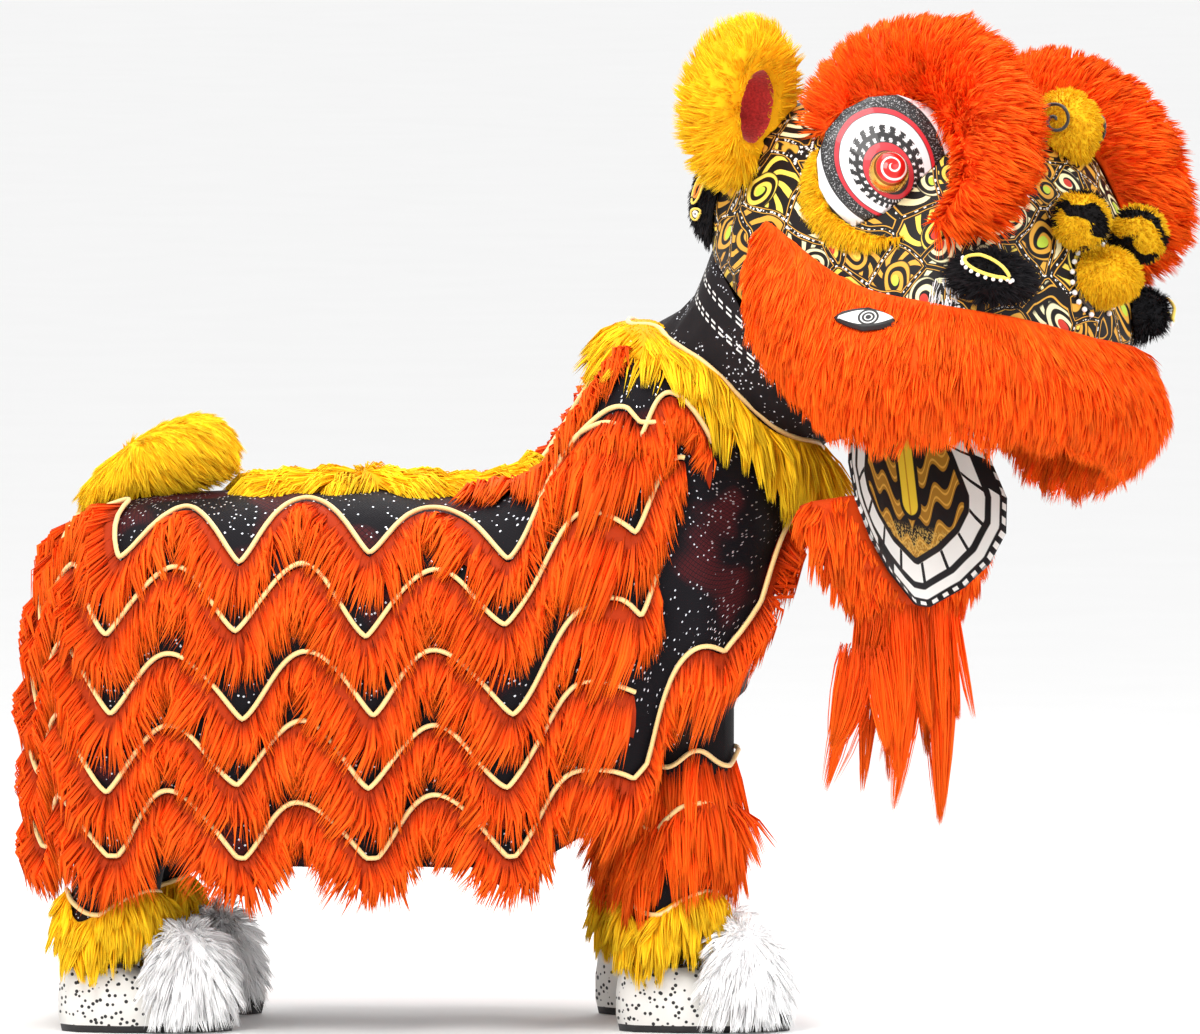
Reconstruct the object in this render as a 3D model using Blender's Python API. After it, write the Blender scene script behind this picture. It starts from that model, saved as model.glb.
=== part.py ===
"""Lion dance costume for two dancers, as worn: a furred head with a hinged jaw, a body cloth with
tiers of fur fringe, two pairs of trousers and four furred shoes.

Metres, +Z up. The lion stands along +X, its right side towards -Y, its head turned to its right.
The origin is the middle of the neck opening, where the front dancer stands in the costume. In the
script heights are measured from the floor, and an empty lowers the whole to that origin.
"""

import math

import bmesh
import bpy
from mathutils import Matrix, Vector
from mathutils.bvhtree import BVHTree

# Clearances and walls
GAP = 0.0004
LIFT_STEP = 0.0006
CLOTH = 0.0025
HEAD_WALL = 0.004
SOLE = 0.010
SHOE_WALL = 0.003

# The body cloth
BACK_LENGTH = 1.34
HALF_GIRTH = 1.16 * BACK_LENGTH
BACK_HEIGHT = 0.907
BODY_HALF_WIDTH = 0.27
NECK_HEIGHT = 1.065
NECK_HALF_WIDTH = 0.19
FOLD_DEPTH = 0.014
FOLD_PITCH = 0.225

# The fur
HAIR = 0.118
HEM_HAIR = 0.105
NECK_HAIR = 0.105
NECK_FRINGE_RISE = 0.034
SPINE_HALF_WIDTH = 0.068
SPINE_RISE = 0.034
SCALLOP = 0.052
TIER_GAP = 0.012
LOCK_WIDTH = 0.045
TIER_LOCKS = (0.82, 1.0)
NECK_LOCKS = (0.72, 0.84)
SHOULDER_TRIM = 0.38

# The head, in its own frame: +X out of the mouth, +Y to the lion's left, origin at the lip
HEAD_LENGTH = 0.80
HEAD_HALF_WIDTH = 0.285
HEAD_HEIGHT = 0.60
HEAD_REACH = 0.352
HEAD_ASIDE = -0.18
HEAD_LIFT = 0.042
HEAD_YAW = math.radians(-38)
HEAD_ROLL = math.radians(-11)
LIP_RISE = 0.068
BROW_RISE = 0.140
EYE_RADIUS = 0.122
EYEBALL = 0.023
POMPOM = 0.048
EAR_RADIUS = 0.124
EAR_DEPTH = 0.125

# The jaw, hinged on a rod behind the mouth
HINGE_BACK = -0.080
HINGE_DROP = 0.030
ROD = 0.006
SLEEVE_WALL = 0.005
JAW_LENGTH = 0.430
JAW_HALF_WIDTH = 0.225
JAW_WALL = 0.004
JAW_SCOOP = 0.045
JAW_OPEN = math.radians(74)
BEARD_LENGTH = 0.27

# Legs and shoes
STANCE = 0.15
FRONT_LEG_X = -0.105
REAR_LEG_SHARE = 0.1044
REAR_WAIST_SHARE = 0.1716
SHOE_LENGTH = 0.30
SHOE_WIDTH = 0.105
SHOE_HEIGHT = 0.11
LEG_HAIR = 0.10
CUFF_HAIR = 0.085
PLUME_AHEAD = 0.125
PLUME_HEIGHT = 0.092
PLUME_REACH = (0.090, 0.080, 0.100)

ORANGE = (0.95, 0.16, 0.01)
YELLOW = (0.92, 0.55, 0.02)
BLACK = (0.012, 0.010, 0.014)
WHITE = (0.86, 0.85, 0.88)
RED = (0.72, 0.03, 0.04)
GOLD = (0.80, 0.48, 0.12)

# Half of the body cloth, from the middle of the rear to the throat: where each column of cloth
# starts (ridge or neck edge) and where its hem is. x in shares of BACK_LENGTH from the rear wall,
# y in shares of BODY_HALF_WIDTH and NECK_HALF_WIDTH, z in shares of BACK_HEIGHT and NECK_HEIGHT.
BODY_COLUMNS = [
    # along, top x, top y, top z, hem x, hem y, hem z
    (0.000, 0.215, 0.00, 1.000, 0.030, 0.00, 0.32),
    (0.092, 0.220, 0.00, 1.000, 0.055, 0.50, 0.32),
    (0.185, 0.230, 0.00, 1.000, 0.125, 0.88, 0.32),
    (0.277, 0.250, 0.00, 1.000, 0.225, 1.02, 0.32),
    (0.374, 0.350, 0.00, 1.006, 0.335, 1.04, 0.32),
    (0.471, 0.450, 0.00, 1.010, 0.445, 1.05, 0.32),
    (0.568, 0.570, 0.00, 1.000, 0.560, 1.05, 0.32),
    (0.640, 0.660, 0.00, 1.040, 0.650, 1.04, 0.33),
    (0.700, 0.725, 0.00, 1.190, 0.715, 1.02, 0.38),
]
NECK_COLUMNS = [
    # along, turn round the neck in degrees, hem x, hem y, hem z
    (0.750, 0, 0.772, 1.00, 0.46),
    (0.812, 45, 0.822, 0.98, 0.55),
    (0.875, 90, 0.878, 0.90, 0.67),
    (0.938, 135, 0.940, 0.66, 0.82),
    (1.000, 180, 0.995, 0.00, 0.96),
]
# The neck edge is an oval that leans back: its reach along x, and how far its back stands up.
NECK_REACH = 0.149
NECK_LEAN = 0.115
# How a column of cloth goes from its start (0) to its hem (1): share outwards and share down.
BODY_PROFILE = [
    # down the cloth, outwards, downwards
    (0.00, 0.00, 0.00),
    (0.10, 0.42, 0.02),
    (0.20, 0.74, 0.08),
    (0.32, 0.93, 0.21),
    (0.50, 1.02, 0.42),
    (0.75, 1.04, 0.71),
    (1.00, 1.00, 1.00),
]
# The tiers of orange fringe: where their roots run and where they end at the front.
TIERS = [
    # name, down the cloth behind and in front, end along the cloth, phase of the scallops, hair
    ("tier_1", 0.215, 0.285, 0.870, 0.75, HAIR),
    ("tier_2", 0.385, 0.440, 0.835, 0.77, HAIR),
    ("tier_3", 0.575, 0.610, 0.790, 0.72, HAIR),
    ("tier_4", 0.745, 0.770, 0.755, 0.76, HAIR),
    ("tier_5", 0.915, 0.930, 0.985, 0.74, HEM_HAIR),
]

# Half of the head's rim, from the front round to the back, in shares of HEAD_LENGTH,
# HEAD_HALF_WIDTH and HEAD_HEIGHT, and the profile from its crown to that rim.
HEAD_RIM = [
    # degrees from the front, x, y, z
    (0, 0.405, 0.00, -0.060),
    (30, 0.360, 0.54, -0.070),
    (60, 0.235, 0.88, -0.095),
    (90, 0.035, 1.02, -0.100),
    (120, -0.210, 1.02, 0.110),
    (150, -0.440, 0.66, 0.310),
    (180, -0.540, 0.00, 0.400),
]
HEAD_CROWN = (-0.025, 0.0, 0.83)
HEAD_PROFILE = [
    # down the head, outwards, downwards
    (0.00, 0.00, 0.00),
    (0.12, 0.34, 0.03),
    (0.28, 0.64, 0.12),
    (0.45, 0.86, 0.28),
    (0.62, 0.98, 0.48),
    (0.80, 1.03, 0.72),
    (1.00, 1.00, 1.00),
]
# The head shell's columns round the head, and its rows from the crown to the rim.
SHELL_DOWNS = [0.0, 0.10, 0.22, 0.36, 0.50, 0.66, 0.82, 1.0]
SHELL_GRID = (28, len(SHELL_DOWNS))
# The collar's upper edge under the head: the rim behind, then its own way round the throat.
THROAT = [
    # degrees from the back, x, y, z
    (0, -0.540, 0.00, 0.400),
    (30, -0.440, 0.66, 0.310),
    (60, -0.280, 0.88, 0.130),
    (90, -0.215, 0.84, -0.020),
    (135, -0.190, 0.58, -0.130),
    (180, -0.185, 0.00, -0.165),
]


def smooth(table, at):
    """The row of a table at a value of its first column, on a smooth curve through its rows."""
    at = min(max(at, table[0][0]), table[-1][0])
    low = max(i for i in range(len(table) - 1) if table[i][0] <= at)
    span = table[low + 1][0] - table[low][0]
    share = (at - table[low][0]) / span

    def slope(row, column):
        before, after = table[max(row - 1, 0)], table[min(row + 1, len(table) - 1)]
        return (after[column] - before[column]) / (after[0] - before[0]) * span

    found = []
    for column in range(1, len(table[0])):
        start, end = table[low][column], table[low + 1][column]
        a, b = slope(low, column), slope(low + 1, column)
        found.append(
            (2 * share**3 - 3 * share**2 + 1) * start
            + (share**3 - 2 * share**2 + share) * a
            + (3 * share**2 - 2 * share**3) * end
            + (share**3 - share**2) * b
        )
    return found


def evenly(count, start=0.0, end=1.0):
    """Count values from start to end."""
    return [start + (end - start) * i / (count - 1) for i in range(count)]


# Objects and materials


def fresh_scene():
    for old in list(bpy.data.objects):
        bpy.data.objects.remove(old)
    costume = bpy.data.objects.new("costume", None)
    costume.location.z = -NECK_HEIGHT
    bpy.context.scene.collection.objects.link(costume)
    return costume


def material(name, colour, roughness=0.85, metallic=0.0):
    found = bpy.data.materials.get(name)
    if found:
        return found
    made = bpy.data.materials.new(name)
    made.use_nodes = True
    shader = made.node_tree.nodes["Principled BSDF"]
    shader.inputs["Base Color"].default_value = (*colour, 1)
    shader.inputs["Roughness"].default_value = roughness
    shader.inputs["Metallic"].default_value = metallic
    return made


def add(name, mesh, finish, parent):
    """A finished mesh as an object of the costume."""
    piece = bpy.data.objects.new(name, mesh)
    bpy.context.scene.collection.objects.link(piece)
    piece.parent = parent
    mesh.materials.append(finish)
    mesh.shade_smooth()
    return piece


def closed_mesh(name, points, faces):
    """A mesh whose doubled points are merged and whose faces look outwards."""
    shape = bmesh.new()
    corners = [shape.verts.new(p) for p in points]
    for face in faces:
        shape.faces.new([corners[i] for i in face])
    bmesh.ops.remove_doubles(shape, verts=shape.verts, dist=1e-6)
    loose = [v for v in shape.verts if not v.link_faces]
    bmesh.ops.delete(shape, geom=loose, context="VERTS")
    bmesh.ops.recalc_face_normals(shape, faces=shape.faces)
    if shape.calc_volume(signed=True) < 0:
        bmesh.ops.reverse_faces(shape, faces=shape.faces)
    mesh = bpy.data.meshes.new(name)
    shape.to_mesh(mesh)
    shape.free()
    return mesh


def grid_faces(rows, columns, start=0, round_rows=False, round_columns=False):
    """The quads of a grid of points that is stored row by row."""
    faces = []
    for i in range(rows if round_rows else rows - 1):
        for j in range(columns if round_columns else columns - 1):
            a, b = i * columns, (i + 1) % rows * columns
            k = (j + 1) % columns
            faces.append((start + a + j, start + b + j, start + b + k, start + a + k))
    return faces


def slab(name, outer, inner, round_rows=False, thin_end=False, pole=False):
    """A closed solid between two grids of points, joined round their edges. Both walls are cut
    into triangles in the same way, so they stay apart where they twist. With thin_end the two
    grids share their last column, as the tips of a row of locks do. With pole the first column
    of each is one point."""
    rows, columns = len(outer), len(outer[0])
    points = [p for row in outer for p in row] + [p for row in inner for p in row]
    half = rows * columns
    faces = []
    for a, b, c, d in grid_faces(rows, columns, 0, round_rows):
        for face in ((a, b, c), (a, c, d)):
            faces += [face, tuple(half + corner for corner in face[::-1])]
    for i in range(rows if round_rows else rows - 1):
        a, b = i * columns, (i + 1) % rows * columns
        if not pole:
            faces.append((a, half + a, half + b, b))
        if not thin_end:
            c = columns - 1
            faces.append((a + c, b + c, half + b + c, half + a + c))
    if not round_rows:
        for j in range(columns - 1):
            last = (rows - 1) * columns + j
            faces.append((j, j + 1, half + j + 1, half + j))
            faces.append((last, half + last, half + last + 1, last + 1))
    if thin_end:
        points = [
            points[i - half] if i >= half and i % columns == columns - 1 else points[i]
            for i in range(2 * half)
        ]
    return closed_mesh(name, points, faces)


def loft(name, sections, cap_low=True, cap_high=True):
    """A closed solid through rings of points. An end that isn't capped ends in one point."""
    sides = len(sections[0])
    points = [p for ring in sections for p in ring]
    faces = grid_faces(len(sections), sides, 0, round_columns=True)
    for ring, capped in ((0, cap_low), (len(sections) - 1, cap_high)):
        if capped:
            faces.append(tuple(ring * sides + j for j in range(sides)))
    return closed_mesh(name, points, faces)


# Laying one piece on another


class Carrier:
    """The outer surface that other pieces are laid on, from sheets or solids without a hollow."""

    def __init__(self, *meshes):
        points, faces = [], []
        for mesh in meshes:
            start = len(points)
            points += [v.co.copy() for v in mesh.vertices]
            faces += [[start + i for i in f.vertices] for f in mesh.polygons]
        self.tree = BVHTree.FromPolygons(points, faces)

    def under(self, point):
        """The nearest point of the surface, its normal, and the height of point above it."""
        found, normal, _, _ = self.tree.find_nearest(point)
        away = point - found
        height = away.length if away.dot(normal) >= 0 else -away.length
        return found, normal, height


def settle(grid, carrier, gap, round_rows=False, rounds=60):
    """Lifts a grid of points off the carrier until neither they nor their cells come nearer
    than gap."""
    rows, columns = len(grid), len(grid[0])
    cells = []
    for a, b, c, d in grid_faces(rows, columns, 0, round_rows):
        cells += [(a, b, c), (a, c, d), (a, b, d), (b, c, d)]
    flat = [p.copy() for row in grid for p in row]
    for _ in range(rounds):
        lifted = set()
        for i, point in enumerate(flat):
            _, normal, height = carrier.under(point)
            if height < gap:
                flat[i] = point + normal * (gap - height + LIFT_STEP / 10)
                lifted.add(i)
        low = []
        for point in flat:
            _, normal, _ = carrier.under(point)
            low.append(point - normal * gap * 0.8)
        crossing = BVHTree.FromPolygons(low, cells).overlap(carrier.tree)
        for cell in {pair[0] for pair in crossing}:
            lifted.update(cells[cell])
        if not lifted:
            break
        for i in lifted:
            flat[i] = flat[i] + carrier.under(flat[i])[1] * LIFT_STEP
    return [flat[i * columns : (i + 1) * columns] for i in range(rows)]


def pad(name, base, rise, carrier, round_rows=False, gap=GAP):
    """A fur pad laid on a carrier: its underside follows the carrier, its top stands rise above."""
    laid = [[carrier.under(p)[0] for p in row] for row in base]
    under = settle(laid, carrier, gap, round_rows)
    over = []
    for i, row in enumerate(under):
        over.append([p + carrier.under(p)[1] * rise(i, j) for j, p in enumerate(row)])
    return slab(name, over, under, round_rows)


def hang(root, carrier, length, steps):
    """Points down the carrier from a root, as hair lies on cloth that falls away under it."""
    down = Vector((0, 0, -1))
    points, normals = [], []
    at = root
    for _ in range(steps + 1):
        found, normal, _ = carrier.under(at)
        off_the_edge = (at - found).length > 0.012
        flat = Vector((normal.x, normal.y, 0))
        lean = flat.normalized() if off_the_edge and flat.length > 0.2 else normal
        points.append(at if off_the_edge else found)
        normals.append(lean)
        along = down if off_the_edge else down - normal * down.dot(normal)
        if along.length < 0.15:
            along = Vector((normal.x, normal.y, -0.4))
        at = points[-1] + along.normalized() * (length / steps)
    return points, normals


def fringe(name, roots, carrier, hair, lifts=(0.004, 0.015, 0.024), round_rows=False, wall=0.006):
    """A strip of fur on a line of roots: it hangs in locks, every second one shorter."""
    steps = len(lifts) - 1
    back, front = [], []
    for i, root in enumerate(roots):
        length = min(hair * (1.0 if i % 2 else 0.80), root.z - SHOE_HEIGHT - 0.015)
        points, normals = hang(root, carrier, length, steps)
        back.append([p + n * (GAP + 0.5 * lift) for p, n, lift in zip(points, normals, lifts)])
        front.append([p + n * (wall + lift) for p, n, lift in zip(points, normals, lifts)])
    back = settle(back, carrier, GAP, round_rows)
    for row, over in zip(back, front):
        for j, p in enumerate(row[:-1]):
            away = over[j] - p
            if away.length < wall:
                over[j] = p + carrier.under(p)[1] * wall
        over[-1] = row[-1]
    return slab(name, front, back, round_rows, thin_end=True)


def seat(mesh, carrier, towards, reach=0.25):
    """Moves a rigid piece along towards until it lies GAP from the carrier."""
    faces = [tuple(f.vertices) for f in mesh.polygons]
    start = [v.co.copy() for v in mesh.vertices]
    towards = towards.normalized()

    def clear(distance):
        moved = BVHTree.FromPolygons([p + towards * distance for p in start], faces)
        return not moved.overlap(carrier.tree)

    free, met = -reach, None
    for step in evenly(101, -reach, reach):
        if clear(step):
            free = step
        else:
            met = step
            break
    if met is None:
        raise ValueError(f"{mesh.name} never meets what it sits on")
    while met - free > GAP / 8:
        middle = (free + met) / 2
        free, met = (middle, met) if clear(middle) else (free, middle)
    mesh.transform(Matrix.Translation(towards * (free - GAP)))
    return mesh


# The surfaces of the costume


def rear_x(share):
    """x of a share of the back's length, with the neck opening's middle at 0."""
    neck_middle = 0.888
    return (share - neck_middle) * BACK_LENGTH


def neck_edge(turn):
    """A point of the neck edge, turn in radians from its back towards the lion's left."""
    return Vector(
        (
            -NECK_REACH * math.cos(turn),
            NECK_HALF_WIDTH * math.sin(turn),
            NECK_HEIGHT + NECK_LEAN * math.cos(turn),
        )
    )


def column(along):
    """The start and the hem of the column of cloth at a share along one side."""
    side = -1 if along < 0 else 1
    table = []
    for at, x, y, z, *hem in BODY_COLUMNS:
        top = Vector((rear_x(x), y * BODY_HALF_WIDTH, z * BACK_HEIGHT))
        table.append((at, *top, *hem))
    for at, turn, *hem in NECK_COLUMNS:
        table.append((at, *neck_edge(math.radians(turn)), *hem))
    x, y, z, hem_x, hem_y, hem_z = smooth(table, abs(along))
    if abs(along) > NECK_COLUMNS[0][0]:
        turn = smooth([row[:2] for row in NECK_COLUMNS], abs(along))[0]
        x, y, z = neck_edge(math.radians(turn))
    elif abs(along) < NECK_COLUMNS[0][0]:
        y = 0.0
    top = Vector((x, side * y, z))
    hem = Vector((rear_x(hem_x), side * hem_y * BODY_HALF_WIDTH, hem_z * BACK_HEIGHT))
    return top, hem


def drape(along, down):
    """A point of the body cloth: along from -1, the throat on the lion's right, past 0, the
    middle of the rear, to 1; down from 0, the ridge or neck edge, to 1, the hem."""
    top, hem = column(along)
    out, fall = smooth(BODY_PROFILE, min(down, 1.0))
    point = top.lerp(hem, out)
    point.z = top.z + (hem.z - top.z) * fall
    across = Vector((hem.x - top.x, hem.y - top.y, 0)).normalized()
    fold = math.cos(2 * math.pi * abs(along) * HALF_GIRTH / FOLD_PITCH)
    point += across * FOLD_DEPTH * fold * min(down, 1.0) ** 1.5
    point.z -= max(down - 1.0, 0.0) * (top - hem).length
    return point


def scallop(distance, phase):
    """The wave of a fringe's root line: broad rounded crests and narrow valleys, from -1 to 1."""
    turn = math.pi * (distance / FOLD_PITCH + phase)
    return 1 - 2 * abs(math.sin(turn)) ** 1.3


def head_frame():
    place = Vector((HEAD_REACH, HEAD_ASIDE, NECK_HEIGHT + HEAD_LIFT))
    turn = Matrix.Rotation(HEAD_YAW, 4, "Z") @ Matrix.Rotation(HEAD_ROLL, 4, "X")
    return Matrix.Translation(place) @ turn


def head_point(x, y, z):
    return Vector((x * HEAD_LENGTH, y * HEAD_HALF_WIDTH, z * HEAD_HEIGHT))


def skull(turn, down):
    """A point of the head in its own frame: turn in degrees from the front, positive to the
    lion's left; down from 0, the crown, to 1, the rim, and past it straight down."""
    side = -1 if turn < 0 else 1
    x, y, z = smooth(HEAD_RIM, abs(turn))
    rim = head_point(x, side * y, z)
    crown = head_point(*HEAD_CROWN)
    out, fall = smooth(HEAD_PROFILE, min(down, 1.0))
    point = crown.lerp(rim, out)
    point.z = crown.z + (rim.z - crown.z) * fall
    if down > 1:
        point.z -= (down - 1) * HEAD_HEIGHT
    return point


def throat(turn):
    """A point of the collar's upper edge in the head's frame, turn in degrees from the back."""
    side = -1 if turn < 0 else 1
    x, y, z = smooth(THROAT, abs(turn))
    return head_point(x, side * y, z)


# The cloth pieces


def make_body_cloth(parent):
    alongs = evenly(55, -1.0, 1.0)
    downs = [0.0, 0.10, 0.22, 0.40, 0.65, 1.0]
    points = [drape(a, d) for a in alongs for d in downs]
    faces = grid_faces(len(alongs), len(downs))
    mesh = open_mesh("body_cloth", points, faces)
    piece = add("body_cloth", mesh, material("black_mesh_cloth", BLACK, 0.55), parent)
    thicken(piece, CLOTH)
    return piece


def open_mesh(name, points, faces):
    """A sheet with merged doubles, its faces looking up or outwards."""
    shape = bmesh.new()
    corners = [shape.verts.new(p) for p in points]
    for face in faces:
        shape.faces.new([corners[i] for i in face])
    bmesh.ops.remove_doubles(shape, verts=shape.verts, dist=1e-5)
    bmesh.ops.recalc_face_normals(shape, faces=shape.faces)
    middle = sum((v.co for v in shape.verts), Vector()) / len(shape.verts)
    outwards = sum(f.normal.dot(f.calc_center_median() - middle) for f in shape.faces)
    if outwards < 0:
        bmesh.ops.reverse_faces(shape, faces=shape.faces)
    bmesh.ops.triangulate(shape, faces=shape.faces)
    mesh = bpy.data.meshes.new(name)
    shape.to_mesh(mesh)
    shape.free()
    return mesh


def thicken(piece, wall):
    """Gives a sheet its wall, on its inner side."""
    made = piece.modifiers.new("wall", "SOLIDIFY")
    made.thickness = wall
    made.offset = -1.0
    made.use_quality_normals = True


def collar_line(turn):
    """The two ends of the collar at a turn in radians from the back: neck edge and head."""
    axis = Vector((NECK_LEAN, 0, NECK_REACH)).normalized()
    low = neck_edge(turn) + axis * GAP
    local = throat((math.degrees(turn - HEAD_YAW) + 180) % 360 - 180)
    frame = head_frame()
    below = frame.to_3x3() @ Vector((0.55, 0, -0.83))
    return low, frame @ local + below * (HEAD_WALL + GAP)


def make_collar(cloth, shell, parent):
    """The black collar between the neck edge and the head's rim."""
    rows = []
    for turn in evenly(25, -math.pi, math.pi)[:-1]:
        low, high = collar_line(turn)
        middle = low.lerp(high, 0.5)
        bulge = Vector((middle.x, middle.y, 0)) * 0.08
        rows.append([low, middle + bulge, high])
    points = [p for row in rows for p in row]
    mesh = open_mesh("neck_collar", points, grid_faces(len(rows), 3, round_rows=True))
    piece = add("neck_collar", mesh, material("black_mesh_cloth", BLACK, 0.55), parent)
    thicken(piece, CLOTH)
    axis = Vector((NECK_LEAN, 0, NECK_REACH)).normalized()
    upwards = head_frame().to_3x3() @ Vector((-0.55, 0, 0.83))

    def move(row, way):
        for corner in mesh.vertices:
            if corner.index % 3 == row:
                corner.co += way * GAP / 2
        mesh.update()

    below, above = solid_tree(cloth), solid_tree(shell)
    while below.overlap(solid_tree(piece)):
        move(0, axis)
    while not above.overlap(solid_tree(piece)):
        move(2, upwards)
    move(2, -upwards)
    return piece


def tier_roots(row, count):
    """Where the hair of a tier starts: shares along and down the cloth."""
    end = TIERS[row][3]
    roots = []
    for along in evenly(count, -end, end):
        roots.append((along, tier_down(row, along)))
    return roots


def tier_down(row, along):
    """How far down the cloth the roots of a tier are."""
    _, behind, front, _, phase, _ = TIERS[row]
    top, hem = column(along)
    share = min(max((abs(along) - 0.60) / 0.12, 0.0), 1.0)
    down = behind + (front - behind) * share * share * (3 - 2 * share)
    wave = SCALLOP / max((top - hem).length, 0.30)
    return min(down + wave * scallop(abs(along) * HALF_GIRTH, phase), 0.985)


def make_tiers(cloth, parent):
    """The tiers of orange fringe round the rear and along both sides."""
    fur = material("orange_fur", ORANGE)
    shares = (0.0, 0.45, 1.0)
    lifts = (GAP, 0.010, 0.018)
    depths = (0.007, 0.013, 0.0)
    for row, (name, _, _, end, _, hair) in enumerate(TIERS):
        count = 2 * round(end * HALF_GIRTH / LOCK_WIDTH) + 1
        under, over = [], []
        for i, (along, root) in enumerate(tier_roots(row, count)):
            top, hem = column(along)
            length = (top - hem).length
            tip = root + hair * TIER_LOCKS[i % 2] / length
            if row + 1 < len(TIERS):
                tip = min(tip, tier_down(row + 1, along) - TIER_GAP / length)
            laid, outer = [], []
            for share, lift, depth in zip(shares, lifts, depths):
                point = drape(along, root + (tip - root) * share)
                found, normal, _ = cloth.under(point)
                if root + (tip - root) * share > 1.0:
                    found = point
                    normal = Vector((normal.x, normal.y, 0)).normalized()
                laid.append(found + normal * lift)
                outer.append(normal * depth)
            under.append(laid)
            over.append(outer)
        under = settle(under, cloth, GAP)
        over = [[p + n for p, n in zip(*pair)] for pair in zip(under, over)]
        add(name, slab(name, over, under, thin_end=True), fur, parent)


def make_neck_fringe(collar, cloth, parent):
    """The yellow fringe sewn round the collar. It falls over the neck edge onto the cloth."""
    surface = Carrier(collar.data, cloth.data)
    axis = Vector((NECK_LEAN, 0, NECK_REACH)).normalized()
    count = 36
    under, over = [], []
    for i in range(count):
        turn = 2 * math.pi * i / count
        low, _ = collar_line(turn)
        wave = scallop(min(turn, 2 * math.pi - turn) * NECK_HALF_WIDTH, 0.3)
        outwards = Vector((low.x, low.y, 0)).normalized()
        forward = 0.5 - 0.5 * math.cos(turn)
        beside = math.sin(turn) ** 4
        long = NECK_HAIR * NECK_LOCKS[i % 2] * (1 - SHOULDER_TRIM * beside)
        root, away, _ = surface.under(low + axis * (NECK_FRINGE_RISE - 0.010 * wave))
        middle = low + outwards * 0.022 + Vector((0, 0, 0.008 - 0.032 * forward))
        reach = outwards * (0.50 * long) - Vector((0, 0, 0.70 * long))
        tip, normal, _ = surface.under(low + reach)
        under.append([root + away * GAP, middle, tip + normal * 0.010])
        bend = (outwards + Vector((0, 0, 1 - forward))).normalized()
        over.append([bend * 0.009, bend * 0.014, Vector()])
    under = settle(under, surface, GAP, round_rows=True)
    over = [[p + rise for p, rise in zip(*pair)] for pair in zip(under, over)]
    mesh = slab("neck_fringe", over, under, round_rows=True, thin_end=True)
    add("neck_fringe", mesh, material("yellow_fur", YELLOW), parent)


def make_spine(cloth, parent):
    """The yellow fur along the ridge of the back, and the tail stump at its rear end."""
    fur = material("yellow_fur", YELLOW)
    stations = evenly(15, 0.300, 0.660)
    base = []
    for i, share in enumerate(stations):
        half = SPINE_HALF_WIDTH * (1.0 + 0.35 * math.sin(i * 1.9))
        top, _ = column(smooth([(c[1], c[0]) for c in BODY_COLUMNS[3:]], share)[0])
        base.append([top + Vector((0, half * y, 0)) for y in (-1.0, -0.6, 0.0, 0.6, 1.0)])
    shares = (0.25, 0.8, 1.0, 0.8, 0.25)
    mesh = pad("spine_fur", base, lambda i, j: SPINE_RISE * shares[j] * (1 - 0.25 * (i % 2)), cloth)
    add("spine_fur", mesh, fur, parent)

    sections = []
    tail = [
        # share of the back's length, height over the ridge, half width, half height
        (0.080, -0.030, 0.012, 0.010),
        (0.100, -0.010, 0.048, 0.032),
        (0.155, 0.025, 0.066, 0.055),
        (0.210, 0.050, 0.072, 0.064),
        (0.250, 0.056, 0.060, 0.055),
        (0.272, 0.050, 0.020, 0.020),
    ]
    for share, height, half_width, half_height in tail:
        ring = []
        for turn in evenly(11, 0, 2 * math.pi)[:-1]:
            y = half_width * math.cos(turn)
            z = BACK_HEIGHT + height + half_height * math.sin(turn)
            ring.append(Vector((rear_x(share), y, z)))
        sections.append(ring)
    mesh = seat(loft("tail", sections), cloth, Vector((0, 0, -1)))
    add("tail", mesh, fur, parent)


# The head


def make_head_shell(parent):
    faces = grid_faces(*SHELL_GRID, round_rows=True)
    mesh = open_mesh("head_shell", skull_grid(), faces)
    piece = add("head_shell", mesh, material("printed_cloth", YELLOW, 0.5), parent)
    thicken(piece, HEAD_WALL)
    return piece


def make_lip(shell, parent):
    """The roll of orange fur round the mouth's upper edge."""
    frame = head_frame()
    edges = [
        # degrees from the front, upper edge, lower edge, in shares down the head
        (0, 0.84, 1.075),
        (35, 0.82, 1.080),
        (60, 0.80, 1.090),
        (90, 0.76, 1.080),
        (118, 0.72, 1.030),
    ]
    shares = (0.06, 0.62, 1.0, 0.98, 0.72, 0.20)
    under, over = [], []
    for i, turn in enumerate(evenly(27, -118.0, 118.0)):
        high, low = smooth(edges, abs(turn))
        low += 0.022 * (i % 2)
        ends = min((118 - abs(turn)) / 22, 1.0)
        bulge = LIP_RISE * (0.35 + 0.65 * math.sqrt(max(ends, 0.0)))
        inner, outer = [], []
        for j, down in enumerate(evenly(len(shares), high, low)):
            point = frame @ skull(turn, down)
            _, normal, _ = shell.under(frame @ skull(turn, min(down, 0.97)))
            inner.append(point + normal * GAP)
            outer.append(normal * (bulge * shares[j] * (1 - 0.08 * (i % 2)) + 0.004))
        under.append(inner)
        over.append(outer)
    under = settle(under, shell, GAP)
    over = [[p + n for p, n in zip(*rows)] for rows in zip(under, over)]
    add("lip_fur", slab("lip_fur", over, under), material("orange_fur", ORANGE), parent)


def on_head(turn, down, shell, frame):
    """A point of the head's outer side and two tangents there: towards the face, and upwards."""
    point, normal, _ = shell.under(frame @ skull(turn, down))
    up = frame.to_3x3() @ Vector((0, 0, 1))
    up = (up - normal * up.dot(normal)).normalized()
    ahead = normal.cross(up) if turn > 0 else up.cross(normal)
    return point, normal, ahead, up


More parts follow.
